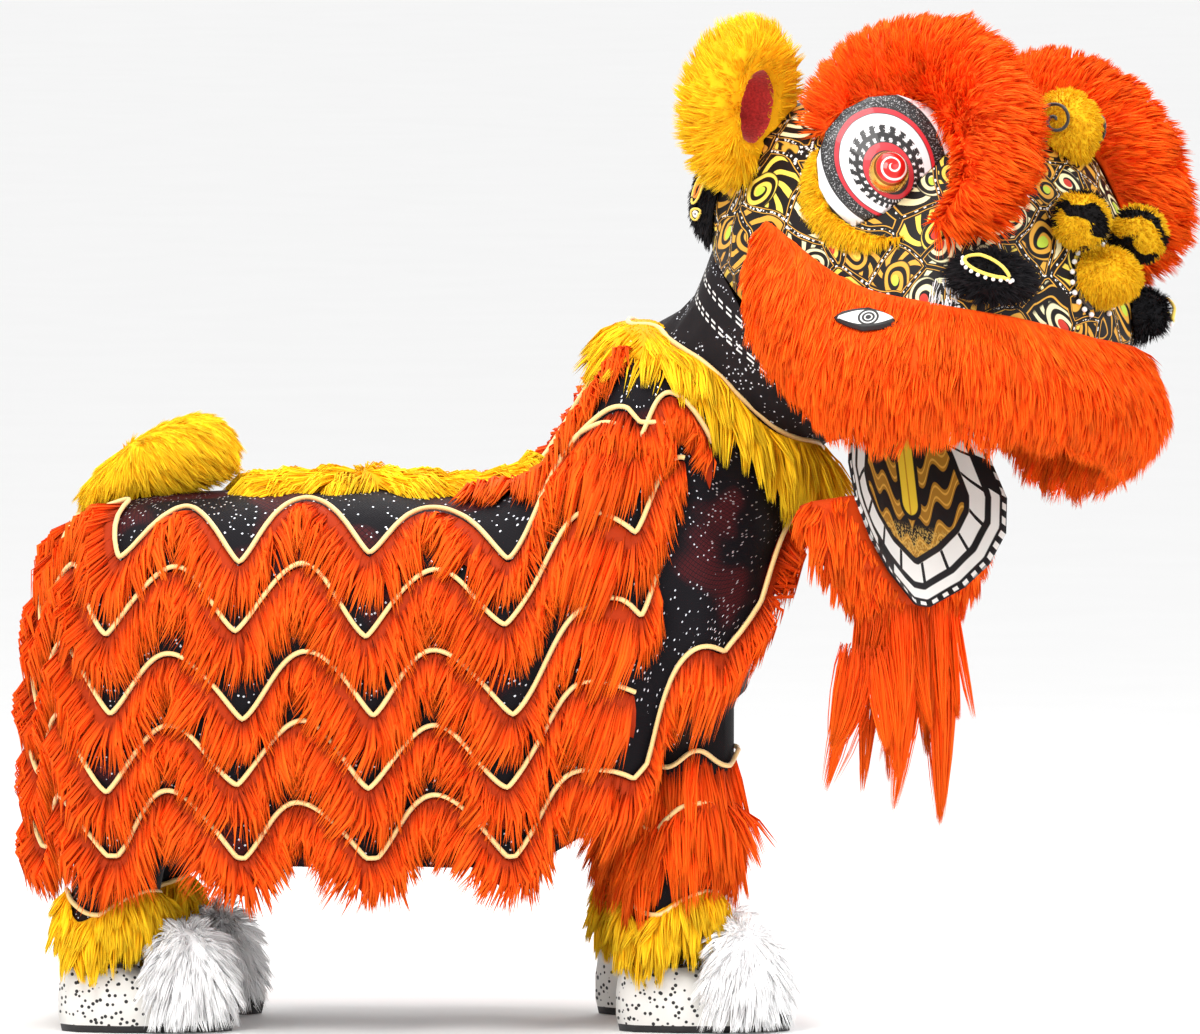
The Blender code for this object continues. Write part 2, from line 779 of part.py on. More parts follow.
def ring_pad(name, centre, radii, turns, rise, shell, finish, parent, squeeze=1.0):
    """A pad on a ring or an arc round a centre. radii gives the rows from the inner edge out,
    turns the angles from straight ahead, upwards positive."""
    point, _, ahead, up = centre
    whole = abs(turns[-1] - turns[0]) > 359
    used = turns[:-1] if whole else turns
    base = []
    for turn in used:
        way = ahead * math.cos(math.radians(turn)) * squeeze + up * math.sin(math.radians(turn))
        base.append([point + way * radius for radius in radii(turn)])
    mesh = pad(name, base, rise, shell, round_rows=whole)
    return add(name, mesh, finish, parent)


def make_eye(side, name, shell, parent):
    """One eye: the printed stepped disc, the gold eyeball on it, its yellow rim and its brow."""
    frame = head_frame()
    centre = on_head(side * 84, 0.47, shell, frame)
    point, normal, ahead, up = centre
    gaze = (frame.to_3x3() @ Vector((0.60, side * 0.78, -0.04))).normalized()
    rise_way = frame.to_3x3() @ Vector((0, 0, 1))
    rise_way = (rise_way - gaze * rise_way.dot(gaze)).normalized()
    aside = rise_way.cross(gaze)
    disc = [
        # share of the radius, rise over the plane of the disc, share of the apex's shift down
        (1.00, -0.090, 0.0),
        (1.00, 0.012, 0.0),
        (0.66, 0.030, 0.5),
        (0.28, 0.044, 1.0),
    ]
    apex = -rise_way * 0.10 * EYE_RADIUS
    rings = []
    for share, rise, shift in disc:
        at = point + gaze * rise + apex * shift
        ring = []
        for turn in evenly(17, 0, 2 * math.pi)[:-1]:
            way = aside * math.cos(turn) + rise_way * math.sin(turn)
            ring.append(at + way * EYE_RADIUS * share)
        rings.append(ring)
    middle = point + gaze * disc[-1][1] + apex
    name_disc = f"eye_disc_{name}"
    finish = material("eye_print", WHITE, 0.4)
    disc_piece = add(name_disc, loft(name_disc, rings), finish, parent)
    join(disc_piece, skull_volume(GAP, parent), "DIFFERENCE")

    ball = ball_mesh(f"eyeball_{name}", middle + gaze * EYEBALL, (EYEBALL,) * 3)
    seat(ball, Carrier(disc_piece.data), -gaze, reach=0.05)
    add(f"eyeball_{name}", ball, material("gold_paint", GOLD, 0.3, 0.8), parent)

    def rim_radii(turn):
        inner = EYE_RADIUS - 0.012
        width = 0.016 + 0.040 * math.sin(math.radians(min(max((turn - 152) * 1.08, 12), 168)))
        return [inner, inner + width * 0.5, inner + width]

    piece = ring_pad(
        f"eye_rim_{name}",
        centre,
        rim_radii,
        evenly(15, 164.0, 306.0),
        lambda i, j: (0.014, 0.020, 0.006)[j],
        shell,
        material("yellow_fur", YELLOW),
        parent,
    )
    clear_of_disc(piece, point, gaze, parent)

    def brow_radii(turn):
        inner = EYE_RADIUS - 0.010
        span = min((turn + 48) / 40, 1.0, (168 - turn) / 60)
        width = 0.166 * max(span, 0.12) ** 0.6
        return [inner + width * share for share in (0, 0.25, 0.5, 0.75, 1.0)]

    def brow_rise(i, j):
        ends = math.sin(math.pi * (i + 0.6) / 19.2) ** 0.5
        return BROW_RISE * (0.45, 0.92, 1.0, 0.80, 0.16)[j] * ends * (1 - 0.07 * (i % 2)) + 0.003

    piece = ring_pad(
        f"brow_{name}",
        centre,
        brow_radii,
        evenly(19, -40.0, 160.0),
        brow_rise,
        shell,
        material("orange_fur", ORANGE),
        parent,
    )
    clear_of_disc(piece, point, gaze, parent)


def clear_of_disc(piece, point, gaze, parent):
    """Cuts a piece back from the round edge of an eye."""
    first = gaze.orthogonal().normalized()
    second = gaze.cross(first)
    rings = []
    for reach in (-0.20, 0.25):
        ring = []
        for turn in evenly(33, 0, 2 * math.pi)[:-1]:
            way = first * math.cos(turn) + second * math.sin(turn)
            ring.append(point + gaze * reach + way * (EYE_RADIUS + 2 * GAP))
        rings.append(ring)
    cutter = add("cutter", loft("cutter", rings), material("eye_print", WHITE, 0.4), parent)
    join(piece, cutter, "DIFFERENCE")


def ball_mesh(name, middle, radii, sides=10, rings=6):
    """A faceted ball or egg, its axis along +Z."""
    shape = bmesh.new()
    bmesh.ops.create_uvsphere(shape, u_segments=sides, v_segments=rings, radius=1.0)
    shape.transform(Matrix.Translation(middle) @ Matrix.Diagonal((*radii, 1)))
    mesh = bpy.data.meshes.new(name)
    shape.to_mesh(mesh)
    shape.free()
    return mesh


def make_ear(side, name, shell, parent):
    """A cup of yellow fur that opens forwards, with a red lining."""
    frame = head_frame()
    turn = frame.to_3x3()
    opening = (turn @ Vector((0.97, -side * 0.08, -0.12))).normalized()
    up = (turn @ Vector((-0.10, side * 0.25, 1))).normalized()
    across = up.cross(opening).normalized()
    up = opening.cross(across).normalized()
    middle = frame @ Vector((-0.205, side * 0.280, 0.415))
    outer_rows = [
        # share of the radius, depth behind the mouth of the ear
        (0.46, 0.012),
        (0.86, -0.020),
        (1.00, 0.25),
        (0.90, 0.62),
        (0.55, 0.92),
    ]
    inner_rows = [
        # share of the radius, depth
        (0.44, 0.16),
        (0.40, 0.38),
        (0.36, 0.62),
    ]

    def ring(share, depth, ripple=0.0):
        points = []
        for i, angle in enumerate(evenly(15, 0, 2 * math.pi)[:-1]):
            radius = EAR_RADIUS * share * (1 + ripple * (i % 2))
            way = across * math.cos(angle) + up * math.sin(angle) * 1.16
            points.append(middle + way * radius - opening * EAR_DEPTH * depth)
        return points

    sections = [ring(share, depth) for share, depth in reversed(inner_rows)]
    sections += [ring(share, depth, 0.05) for share, depth in outer_rows]
    cup = add(f"ear_{name}", loft(f"ear_{name}", sections), material("yellow_fur", YELLOW), parent)
    join(cup, skull_volume(GAP, parent), "DIFFERENCE")

    lining = []
    for share, depth in inner_rows[::-1]:
        lining.append(ring(share - GAP / EAR_RADIUS, depth - GAP / EAR_DEPTH))
    for share, depth in ((0.37, 0.12), (0.26, 0.50)):
        lining.append(ring(share, depth))
    mesh = loft(f"ear_lining_{name}", lining)
    add(f"ear_lining_{name}", mesh, material("red_plush", RED), parent)


def skull_volume(gap, parent):
    """The head as a solid that stands gap proud of the shell, to cut with."""
    frame = head_frame()
    points = skull_grid()
    sheet = open_mesh("skull", points, grid_faces(*SHELL_GRID, round_rows=True))
    shape = bmesh.new()
    shape.from_mesh(sheet)
    rim = [e for e in shape.edges if len(e.link_faces) == 1]
    bmesh.ops.holes_fill(shape, edges=rim)
    bmesh.ops.recalc_face_normals(shape, faces=shape.faces)
    middle = frame @ head_point(0, 0, 0.3)
    moves = [(v, v.normal if v.normal.dot(v.co - middle) > 0 else -v.normal) for v in shape.verts]
    for corner, way in moves:
        corner.co += way * gap * 1.6
    shape.to_mesh(sheet)
    shape.free()
    return add("skull", sheet, material("printed_cloth", YELLOW, 0.5), parent)


def skull_grid():
    """The corners of the head shell's outside."""
    frame = head_frame()
    columns, rows = SHELL_GRID
    turns = evenly(columns + 1, -180.0, 180.0)[:-1]
    return [frame @ skull(turn, down) for turn in turns for down in SHELL_DOWNS]


def pole(laid, shell):
    """The middle of the innermost ring of a pad's underside, lifted a little."""
    middle = sum((row[0] for row in laid), Vector()) / len(laid)
    _, normal, _ = shell.under(middle)
    lift = max((row[0] - middle).dot(normal) for row in laid)
    return middle + normal * (lift + 2 * GAP)


def patch(name, turn, down, half_wide, half_high, thickness, shell, finish, parent, sides=12):
    """An oval pad on the head, domed, with a lightly scalloped edge."""
    frame = head_frame()
    point, _, ahead, up = on_head(turn, down, shell, frame)
    base = []
    for i, angle in enumerate(evenly(sides + 1, 0, 2 * math.pi)[:-1]):
        edge = 1 + 0.05 * (i % 2)
        way = ahead * math.cos(angle) * half_wide + up * math.sin(angle) * half_high
        base.append([point + way * share * edge for share in (0.02, 0.62, 1.0)])
    rises = (1.0, 0.80, 0.16)
    laid = settle([[shell.under(p)[0] for p in row] for row in base], shell, GAP, round_rows=True)
    over = []
    for row in laid:
        over.append([p + shell.under(p)[1] * thickness * rises[j] for j, p in enumerate(row)])
    low = pole(laid, shell)
    high = sum((row[0] for row in over), Vector()) / len(over)
    for row, top in zip(laid, over):
        row[0], top[0] = low, high
    return add(name, slab(name, over, laid, round_rows=True, pole=True), finish, parent)


def make_face(shell, parent):
    """Nose, nostrils, forehead knob, pompoms and cheek fins."""
    frame = head_frame()
    turn = frame.to_3x3()
    black = material("black_fur", BLACK)
    yellow = material("yellow_fur", YELLOW)
    striped = material("striped_plush", YELLOW)
    for side, name in ((-1, "right"), (1, "left")):
        patch(f"cheek_fin_{name}", side * 150, 0.80, 0.062, 0.085, 0.034, shell, black, parent)
        patch(f"nostril_{name}", side * 42, 0.735, 0.078, 0.044, 0.060, shell, black, parent)
        ball = ball_mesh(f"pompom_{name}", frame @ Vector((0.40, side * 0.083, 0.272)), (POMPOM,) * 3)
        seat(ball, shell, turn @ Vector((-1, 0, 0)))
        add(f"pompom_{name}", ball, striped, parent)
    patch("nose", 0, 0.70, 0.060, 0.046, 0.080, shell, yellow, parent)
    patch("forehead_knob", 0, 0.30, 0.062, 0.066, 0.085, shell, yellow, parent)


def make_lip_eyes(parent):
    """The almond-shaped patch with an eye on each side of the lip fur."""
    frame = head_frame()
    lip = Carrier(bpy.data.objects["lip_fur"].data)
    for side, name in ((-1, "right"), (1, "left")):
        spot = frame @ (skull(side * 76, 0.80) + Vector((0.02, side * 0.12, 0)))
        point, normal, _ = lip.under(spot)
        up = frame.to_3x3() @ Vector((0, 0, 1))
        up = (up - normal * up.dot(normal)).normalized()
        ahead = up.cross(normal)
        rings = []
        for lift, scale in ((0.0, 1.0), (0.006, 0.86)):
            ring = []
            for angle in evenly(13, 0, 2 * math.pi)[:-1]:
                high = 0.017 * math.sin(angle) * (1 - 0.35 * abs(math.cos(angle)))
                ring.append(point + ahead * 0.038 * math.cos(angle) * scale + up * high * scale)
            rings.append([p + normal * (0.05 + lift) for p in ring])
        mesh = seat(loft(f"lip_eye_{name}", rings), lip, -normal)
        add(f"lip_eye_{name}", mesh, material("eye_print", WHITE, 0.4), parent)


# The jaw


def jaw_frame():
    """The jaw's frame: origin in the middle of its hinge, +X along the tray to its tip."""
    hinge = Matrix.Translation((HINGE_BACK, 0, HINGE_DROP))
    return head_frame() @ hinge @ Matrix.Rotation(JAW_OPEN, 4, "Y")


def tube_between(name, start, end, outer, inner, finish, parent, sides=12):
    """A rod, or a sleeve where inner isn't 0, between two points."""
    way = (end - start).normalized()
    first = way.orthogonal().normalized()
    second = way.cross(first)

    def ring(at, radius):
        angles = evenly(sides + 1, 0, 2 * math.pi)[:-1]
        return [at + (first * math.cos(a) + second * math.sin(a)) * radius for a in angles]

    if not inner:
        return add(name, loft(name, [ring(start, outer), ring(end, outer)]), finish, parent)
    rows = [[a, b] for a, b in zip(ring(start, outer), ring(end, outer))]
    holes = [[a, b] for a, b in zip(ring(start, inner), ring(end, inner))]
    return add(name, slab(name, rows, holes, round_rows=True), finish, parent)


def solid_tree(piece):
    """The surface of a piece with its modifiers, inner side included."""
    graph = bpy.context.evaluated_depsgraph_get()
    graph.update()
    return BVHTree.FromObject(piece, graph)


def make_jaw(shell, parent):
    """The rod, and on it the jaw: a scooped tray with a sleeve, fur under it and a beard."""
    head, frame = head_frame(), jaw_frame()
    wall = solid_tree(shell)
    middle = frame.translation
    ends = []
    for side in (-1, 1):
        way = head.to_3x3() @ Vector((0, side, 0))
        first = way.orthogonal().normalized()
        second = way.cross(first)
        reach = []
        for turn in evenly(13, 0, 2 * math.pi):
            spot = middle + (first * math.cos(turn) + second * math.sin(turn)) * ROD
            reach.append(wall.ray_cast(spot, way)[3])
        ends.append(middle + way * (min(reach) - GAP))
    steel = material("hinge_rod", (0.6, 0.6, 0.6), 0.4, 1.0)
    tube_between("jaw_rod", ends[0], ends[1], ROD, 0, steel, parent)

    outline = [
        # share of the length, half width, rise of the rim
        (0.00, 0.60, 0.40),
        (0.30, 0.86, 0.80),
        (0.50, 1.00, 1.00),
        (0.65, 0.95, 0.95),
        (0.79, 0.75, 0.72),
        (0.90, 0.48, 0.42),
        (1.00, 0.10, 0.10),
    ]
    sleeve = ROD / math.cos(math.pi / 12) + GAP
    top, bottom = [], []
    for share, half, rim in outline:
        start = sleeve + SLEEVE_WALL + GAP
        x = start + share * (JAW_LENGTH - start)
        upper, lower = [], []
        for y in (-1.0, -0.72, -0.36, 0.0, 0.36, 0.72, 1.0):
            z = JAW_SCOOP * rim * abs(y) ** 2.2
            upper.append(frame @ Vector((x, y * half * JAW_HALF_WIDTH, z)))
            lower.append(frame @ Vector((x, y * half * JAW_HALF_WIDTH, z - JAW_WALL)))
        top.append(upper)
        bottom.append(lower)
    tray = add("jaw_tray", slab("jaw_tray", top, bottom), material("jaw_print", WHITE, 0.5), parent)
    start, end = (frame @ Vector((0, y * 0.60 * JAW_HALF_WIDTH, 0)) for y in (-1, 1))
    red = material("red_plush", RED)
    tube_between("jaw_sleeve", start, end, sleeve + SLEEVE_WALL, sleeve, red, parent)
    make_jaw_fur(frame, tray, parent)


def make_jaw_fur(frame, tray, parent):
    """The orange fur on the jaw's underside and the beard that hangs from it."""
    under = Carrier(tray.data)
    fur = material("orange_fur", ORANGE)
    base, back = [], []
    for i, turn in enumerate(evenly(21, -84.0, 84.0)):
        way_x, way_y = math.cos(math.radians(turn)), math.sin(math.radians(turn))
        inner, outer = [], []
        for j, share in enumerate((0.35, 0.66, 0.92, 1.12 + 0.06 * (i % 2))):
            x = JAW_LENGTH * (0.58 + 0.40 * share * way_x)
            y = JAW_HALF_WIDTH * 0.93 * share * way_y
            drop = (0.006, 0.008, 0.014, 0.034)[j]
            deep = (0.030, 0.052, 0.054, 0.026)[j]
            upwards = frame.to_3x3() @ Vector((0, 0, 1))
            hit = under.tree.ray_cast(frame @ Vector((x, y, -0.2)), upwards)[0]
            low = hit or frame @ Vector((x, y, -JAW_WALL - drop))
            inner.append(low)
            outer.append(low - upwards * (deep + 0.006))
        base.append(inner)
        back.append(outer)
    base = settle(base, under, GAP)
    mesh = slab("jaw_fur", back, base)
    fur_piece = add("jaw_fur", mesh, fur, parent)

    rows, rears = [], []
    root = frame @ Vector((JAW_LENGTH * 0.92, 0, -0.045))
    across = head_frame().to_3x3() @ Vector((0, 1, 0))
    across.z = 0
    across.normalize()
    ahead = Vector((across.y, -across.x, 0))
    for i, share in enumerate(evenly(15, -1.0, 1.0)):
        length = BEARD_LENGTH * (1.0 - 0.25 * abs(share)) * (1.0 if i % 2 else 0.72)
        front, rear = [], []
        for j, down in enumerate((0.0, 0.3, 0.65, 1.0)):
            wide = 0.140 * (1.0 + 0.06 * down)
            point = root + across * share * wide - Vector((0, 0, length * down))
            deep = (0.028, 0.032, 0.020, 0.0)[j] * (1.1 - 0.5 * abs(share))
            front.append(point + ahead * deep)
            rear.append(point - ahead * deep if j < 3 else point + ahead * deep)
        rows.append(front)
        rears.append(rear)
    mesh = slab("beard", rows, rears, thin_end=True)
    seat(mesh, Carrier(fur_piece.data), Vector((0, 0, 1)))
    add("beard", mesh, fur, parent)


# Legs and shoes


def oval(middle, half_long, half_wide, sides=10):
    """A level ring of points, long along x."""
    points = []
    for turn in evenly(sides + 1, 0, 2 * math.pi)[:-1]:
        points.append(middle + Vector((half_long * math.cos(turn), half_wide * math.sin(turn), 0)))
    return points


SHOE_SECTIONS = [
    # share of the height, share of the length ahead of the ankle, half length, half width
    (0.00, 0.26, 0.48, 0.44),
    (0.25, 0.26, 0.50, 0.50),
    (0.60, 0.12, 0.36, 0.47),
    (1.00, 0.00, 0.22, 0.42),
]
LEG_SECTIONS = [
    # share of the way up, shift along x, half length and half width in metres
    (0.00, 0.000, 0.00, 0.00),
    (0.16, 0.020, 0.074, 0.068),
    (0.48, 0.045, 0.086, 0.078),
    (1.00, 0.040, 0.094, 0.086),
]
LEG_TOP = 0.66
WAIST_TOP = 0.79
WAIST_HALF = (0.13, 0.17)


def shoe_ring(ankle, row, wall):
    height, ahead, half_long, half_wide = row
    middle = Vector((ankle.x + ahead * SHOE_LENGTH, ankle.y, height * SHOE_HEIGHT))
    return oval(middle, half_long * SHOE_LENGTH - wall, half_wide * SHOE_WIDTH - wall)


def make_shoe(name, ankle, parent):
    """A slipper, open at the ankle."""
    outer = [shoe_ring(ankle, row, 0) for row in SHOE_SECTIONS]
    inner = [shoe_ring(ankle, row, SHOE_WALL) for row in SHOE_SECTIONS[1:]]
    floor = [Vector((p.x, p.y, SOLE)) for p in shoe_ring(ankle, SHOE_SECTIONS[0], SHOE_WALL)]
    rings = outer + inner[::-1] + [floor]
    mesh = loft(f"shoe_{name}", rings)
    return add(f"shoe_{name}", mesh, material("shoe_cloth", WHITE, 0.7), parent)


def leg_rings(ankle, waist_x, wall, lengthen=0.0):
    rings = []
    for i, (share, shift, half_long, half_wide) in enumerate(LEG_SECTIONS):
        z = SHOE_HEIGHT + GAP + share * (LEG_TOP - SHOE_HEIGHT - GAP)
        y = ankle.y + (math.copysign(0.095, ankle.y) - ankle.y) * share
        if share == 1.0:
            shift = waist_x - ankle.x
        if i == 0:
            _, _, shoe_long, shoe_wide = SHOE_SECTIONS[-1]
            half_long, half_wide = shoe_long * SHOE_LENGTH, shoe_wide * SHOE_WIDTH
            z -= lengthen
        rings.append(oval(Vector((ankle.x + shift, y, z)), half_long - wall, half_wide - wall))
    return rings


def join(target, tool, operation):
    """Applies a Boolean of tool to target, and removes tool."""
    made = target.modifiers.new("join", "BOOLEAN")
    made.operation = operation
    made.solver = "EXACT"
    made.object = tool
    graph = bpy.context.evaluated_depsgraph_get()
    graph.update()
    result = bpy.data.meshes.new_from_object(target.evaluated_get(graph))
    target.modifiers.clear()
    target.data = result
    bpy.data.objects.remove(tool)


def make_trousers(name, ankles, waist_x, body, parent):
    """A pair of trousers: two legs and a waist, hollow and open at the waist and the ankles.
    Gives the outer surface too, for what is laid on them."""
    cloth = material("black_mesh_cloth", BLACK, 0.55)
    around = solid_tree(body)

    def hips(half_wide, wall=0.0, rise=0.0):
        rings = []
        heights = [(0.56 + wall, 0.90), (0.68, 1.0), (WAIST_TOP, 0.92)]
        if rise:
            heights.append((WAIST_TOP + rise, 0.92))
        for z, scale in heights:
            middle = Vector((waist_x, 0, z))
            rings.append(oval(middle, WAIST_HALF[0] * scale - wall, half_wide * scale - wall, 14))
        return loft(name, rings)

    def clear(half_wide):
        mesh = hips(half_wide)
        tree = BVHTree.FromPolygons(
            [v.co.copy() for v in mesh.vertices], [tuple(f.vertices) for f in mesh.polygons]
        )
        return not tree.overlap(around)

    low, high = WAIST_HALF[1], 2 * WAIST_HALF[1]
    while high - low > GAP / 8:
        middle = (low + high) / 2
        low, high = (middle, high) if clear(middle) else (low, middle)
    half_wide = low - GAP / 2

    outer, inner = [], []
    for wall, lengthen, group in ((0.0, 0.0, outer), (CLOTH, 0.05, inner)):
        group.append(add(name, hips(half_wide, wall, 0.05 if wall else 0.0), cloth, parent))
        for ankle in ankles:
            rings = leg_rings(ankle, waist_x, wall, lengthen)
            group.append(add(f"{name}_leg", loft(name, rings), cloth, parent))
    for group in (outer, inner):
        for leg in group[1:]:
            join(group[0], leg, "UNION")
    surface = Carrier(outer[0].data)
    join(outer[0], inner[0], "DIFFERENCE")
    outer[0].name = name
    return surface


def make_legs(cloth, parent):
    rear_leg = rear_x(REAR_LEG_SHARE)
    pairs = [
        # name, ankle x of the right and of the left leg, x of the waist
        ("front", FRONT_LEG_X, FRONT_LEG_X - 0.035, -0.070),
        ("rear", rear_leg, rear_leg + 0.045, rear_x(REAR_WAIST_SHARE)),
    ]
    for name, right_x, left_x, waist_x in pairs:
        ankles = {"right": Vector((right_x, -STANCE, 0)), "left": Vector((left_x, STANCE, 0))}
        carrier = make_trousers(f"trousers_{name}", list(ankles.values()), waist_x, cloth, parent)
        for side, ankle in ankles.items():
            where = f"{name}_{side}"
            make_shoe(where, ankle, parent)
            rows = [("cuff", 0.215, CUFF_HAIR, "yellow_fur", YELLOW)]
            if name == "front":
                rows.append(("leg_fringe", 0.365, LEG_HAIR, "orange_fur", ORANGE))
            for kind, height, hair, finish, colour in rows:
                roots = leg_roots(ankle, height, carrier)
                lifts = (0.004, 0.016, 0.026)
                mesh = fringe(f"{kind}_{where}", roots, carrier, hair, lifts, round_rows=True)
                add(f"{kind}_{where}", mesh, material(finish, colour), parent)
            make_plume(where, ankle, parent)


def leg_roots(ankle, height, carrier):
    """A scalloped ring of roots round a leg."""
    roots = []
    for turn in evenly(17, 0, 2 * math.pi)[:-1]:
        way = Vector((math.cos(turn), math.sin(turn), 0))
        rise = height + 0.028 * math.cos(2 * turn + 0.6)
        start = Vector((ankle.x - 0.02, ankle.y, rise))
        hit, _, _, _ = carrier.tree.ray_cast(start + way * 0.16, -way)
        roots.append(hit)
    return roots


def make_plume(where, ankle, parent):
    """The white tuft over the toe of a shoe, round its front and both sides."""
    shoe = loft("shoe_outside", [shoe_ring(ankle, row, 0) for row in SHOE_SECTIONS])
    carrier = Carrier(shoe)
    bpy.data.meshes.remove(shoe)
    inside = Vector((ankle.x + PLUME_AHEAD, ankle.y, 0.3 * SHOE_HEIGHT))
    middle = Vector((ankle.x + PLUME_AHEAD, ankle.y, PLUME_HEIGHT))
    under, over = [], []
    for i, turn in enumerate(evenly(13, -118.0, 118.0)):
        row, top = [], []
        for tilt in (80, 40, 5, -34):
            level = math.cos(math.radians(tilt))
            way = Vector((level * math.cos(math.radians(turn)), level * math.sin(math.radians(turn))))
            way = Vector((way.x, way.y, math.sin(math.radians(tilt))))
            reach = Vector([w * r for w, r in zip(way, PLUME_REACH)])
            tip = middle + reach * (0.90 if i % 2 and tilt < 50 else 1.0)
            hit, normal, _, _ = carrier.tree.ray_cast(inside, tip - inside)
            row.append(hit)
            top.append(tip)
        under.append(row)
        over.append(top)
    under = settle(under, carrier, GAP)
    for row, top in zip(under, over):
        for j, point in enumerate(row):
            if (top[j] - inside).length < (point - inside).length + 0.006:
                top[j] = point + (point - inside).normalized() * 0.006
    mesh = slab(f"plume_{where}", over, under)
    add(f"plume_{where}", mesh, material("white_fur", WHITE), parent)


def main():
    costume = fresh_scene()
    cloth = make_body_cloth(costume)
    on_cloth = Carrier(cloth.data)
    make_tiers(on_cloth, costume)
    make_spine(on_cloth, costume)
    shell = make_head_shell(costume)
    on_shell = Carrier(shell.data)
    make_lip(on_shell, costume)
    make_lip_eyes(costume)
    for side, name in ((-1, "right"), (1, "left")):
        make_eye(side, name, on_shell, costume)
        make_ear(side, name, on_shell, costume)
    make_face(on_shell, costume)
    collar = make_collar(cloth, shell, costume)
    make_neck_fringe(collar, cloth, costume)
    make_jaw(shell, costume)
    make_legs(cloth, costume)


main()
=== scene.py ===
"""Lion dance costume: the looks. Fur in combed locks, sequined cloth, printed head and jaw."""

import math
from functools import partialmethod

import bmesh
import bpy
import numpy as np
from mathutils import Matrix, Vector
from mathutils.bvhtree import BVHTree
from mathutils.kdtree import KDTree


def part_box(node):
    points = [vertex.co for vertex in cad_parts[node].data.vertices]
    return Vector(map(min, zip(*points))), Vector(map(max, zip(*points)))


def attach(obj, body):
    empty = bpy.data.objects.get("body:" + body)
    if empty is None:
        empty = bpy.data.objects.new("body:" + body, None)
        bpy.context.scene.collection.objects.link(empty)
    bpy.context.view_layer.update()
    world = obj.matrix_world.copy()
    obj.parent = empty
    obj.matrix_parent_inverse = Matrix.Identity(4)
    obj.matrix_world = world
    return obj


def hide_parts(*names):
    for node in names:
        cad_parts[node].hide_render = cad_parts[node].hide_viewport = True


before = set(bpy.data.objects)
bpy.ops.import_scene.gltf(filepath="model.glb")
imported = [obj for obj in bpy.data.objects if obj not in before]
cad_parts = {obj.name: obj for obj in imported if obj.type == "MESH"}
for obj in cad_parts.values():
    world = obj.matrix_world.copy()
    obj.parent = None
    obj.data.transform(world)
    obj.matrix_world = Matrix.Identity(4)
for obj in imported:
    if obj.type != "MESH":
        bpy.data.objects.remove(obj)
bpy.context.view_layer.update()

# Sizes that the costume's cutting follows, in metres, heights from the floor
BACK_LENGTH = 1.34
HALF_GIRTH = 1.16 * BACK_LENGTH
BACK_HEIGHT = 0.907
NECK_SHARE = 0.888
BODY_HALF_WIDTH = 0.27
NECK_HEIGHT = 1.065
NECK_HALF_WIDTH = 0.19
NECK_REACH = 0.149
NECK_LEAN = 0.115
FOLD_DEPTH = 0.014
FOLD_PITCH = 0.225
CLOTH = 0.0025
HEAD_WALL = 0.004
HAIR = 0.118
HEM_HAIR = 0.105
SCALLOP = 0.052
HEAD_LENGTH = 0.80
HEAD_HALF_WIDTH = 0.285
HEAD_HEIGHT = 0.60
HEAD_REACH = 0.352
HEAD_ASIDE = -0.18
HEAD_LIFT = 0.042
HEAD_YAW = math.radians(-38)
HEAD_ROLL = math.radians(-11)
HINGE_BACK = -0.080
HINGE_DROP = 0.030
JAW_LENGTH = 0.430
JAW_HALF_WIDTH = 0.225
JAW_OPEN = math.radians(74)
LEG_HAIR = 0.10
CUFF_HAIR = 0.085
BEARD_LENGTH = 0.27
PIPING = 0.0044
PIPING_RISE = 0.005
PIPING_LIFT = 0.0055
FLOOR = -NECK_HEIGHT

SIDES = (("right", -1), ("left", 1))
LEGS = ("front_right", "front_left", "rear_right", "rear_left")

BODY_COLUMNS = [
    # along, top x, top y, top z, hem x, hem y, hem z
    (0.000, 0.215, 0.00, 1.000, 0.030, 0.00, 0.32),
    (0.092, 0.220, 0.00, 1.000, 0.055, 0.50, 0.32),
    (0.185, 0.230, 0.00, 1.000, 0.125, 0.88, 0.32),
    (0.277, 0.250, 0.00, 1.000, 0.225, 1.02, 0.32),
    (0.374, 0.350, 0.00, 1.006, 0.335, 1.04, 0.32),
    (0.471, 0.450, 0.00, 1.010, 0.445, 1.05, 0.32),
    (0.568, 0.570, 0.00, 1.000, 0.560, 1.05, 0.32),
    (0.640, 0.660, 0.00, 1.040, 0.650, 1.04, 0.33),
    (0.700, 0.725, 0.00, 1.190, 0.715, 1.02, 0.38),
]
NECK_COLUMNS = [
    # along, turn round the neck in degrees, hem x, hem y, hem z
    (0.750, 0, 0.772, 1.00, 0.46),
    (0.812, 45, 0.822, 0.98, 0.55),
    (0.875, 90, 0.878, 0.90, 0.67),
    (0.938, 135, 0.940, 0.66, 0.82),
    (1.000, 180, 0.995, 0.00, 0.96),
]
BODY_PROFILE = [
    # share of the way down the cloth, outwards, downwards
    (0.00, 0.00, 0.00),
    (0.10, 0.42, 0.02),
    (0.20, 0.74, 0.08),
    (0.32, 0.93, 0.21),
    (0.50, 1.02, 0.42),
    (0.75, 1.04, 0.71),
    (1.00, 1.00, 1.00),
]
TIERS = [
    # name, down the cloth behind and in front, end along the cloth, phase of the scallops, hair
    ("tier_1", 0.215, 0.285, 0.870, 0.75, HAIR),
    ("tier_2", 0.385, 0.440, 0.835, 0.77, HAIR),
    ("tier_3", 0.575, 0.610, 0.790, 0.72, HAIR),
    ("tier_4", 0.745, 0.770, 0.755, 0.76, HAIR),
    ("tier_5", 0.915, 0.930, 0.985, 0.74, HEM_HAIR),
]
THROAT = [
    # degrees from the back, x, y, z
    (0, -0.540, 0.00, 0.400),
    (30, -0.440, 0.66, 0.310),
    (60, -0.280, 0.88, 0.130),
    (90, -0.215, 0.84, -0.020),
    (135, -0.190, 0.58, -0.130),
    (180, -0.185, 0.00, -0.165),
]


# Cutting: the surfaces of the costume


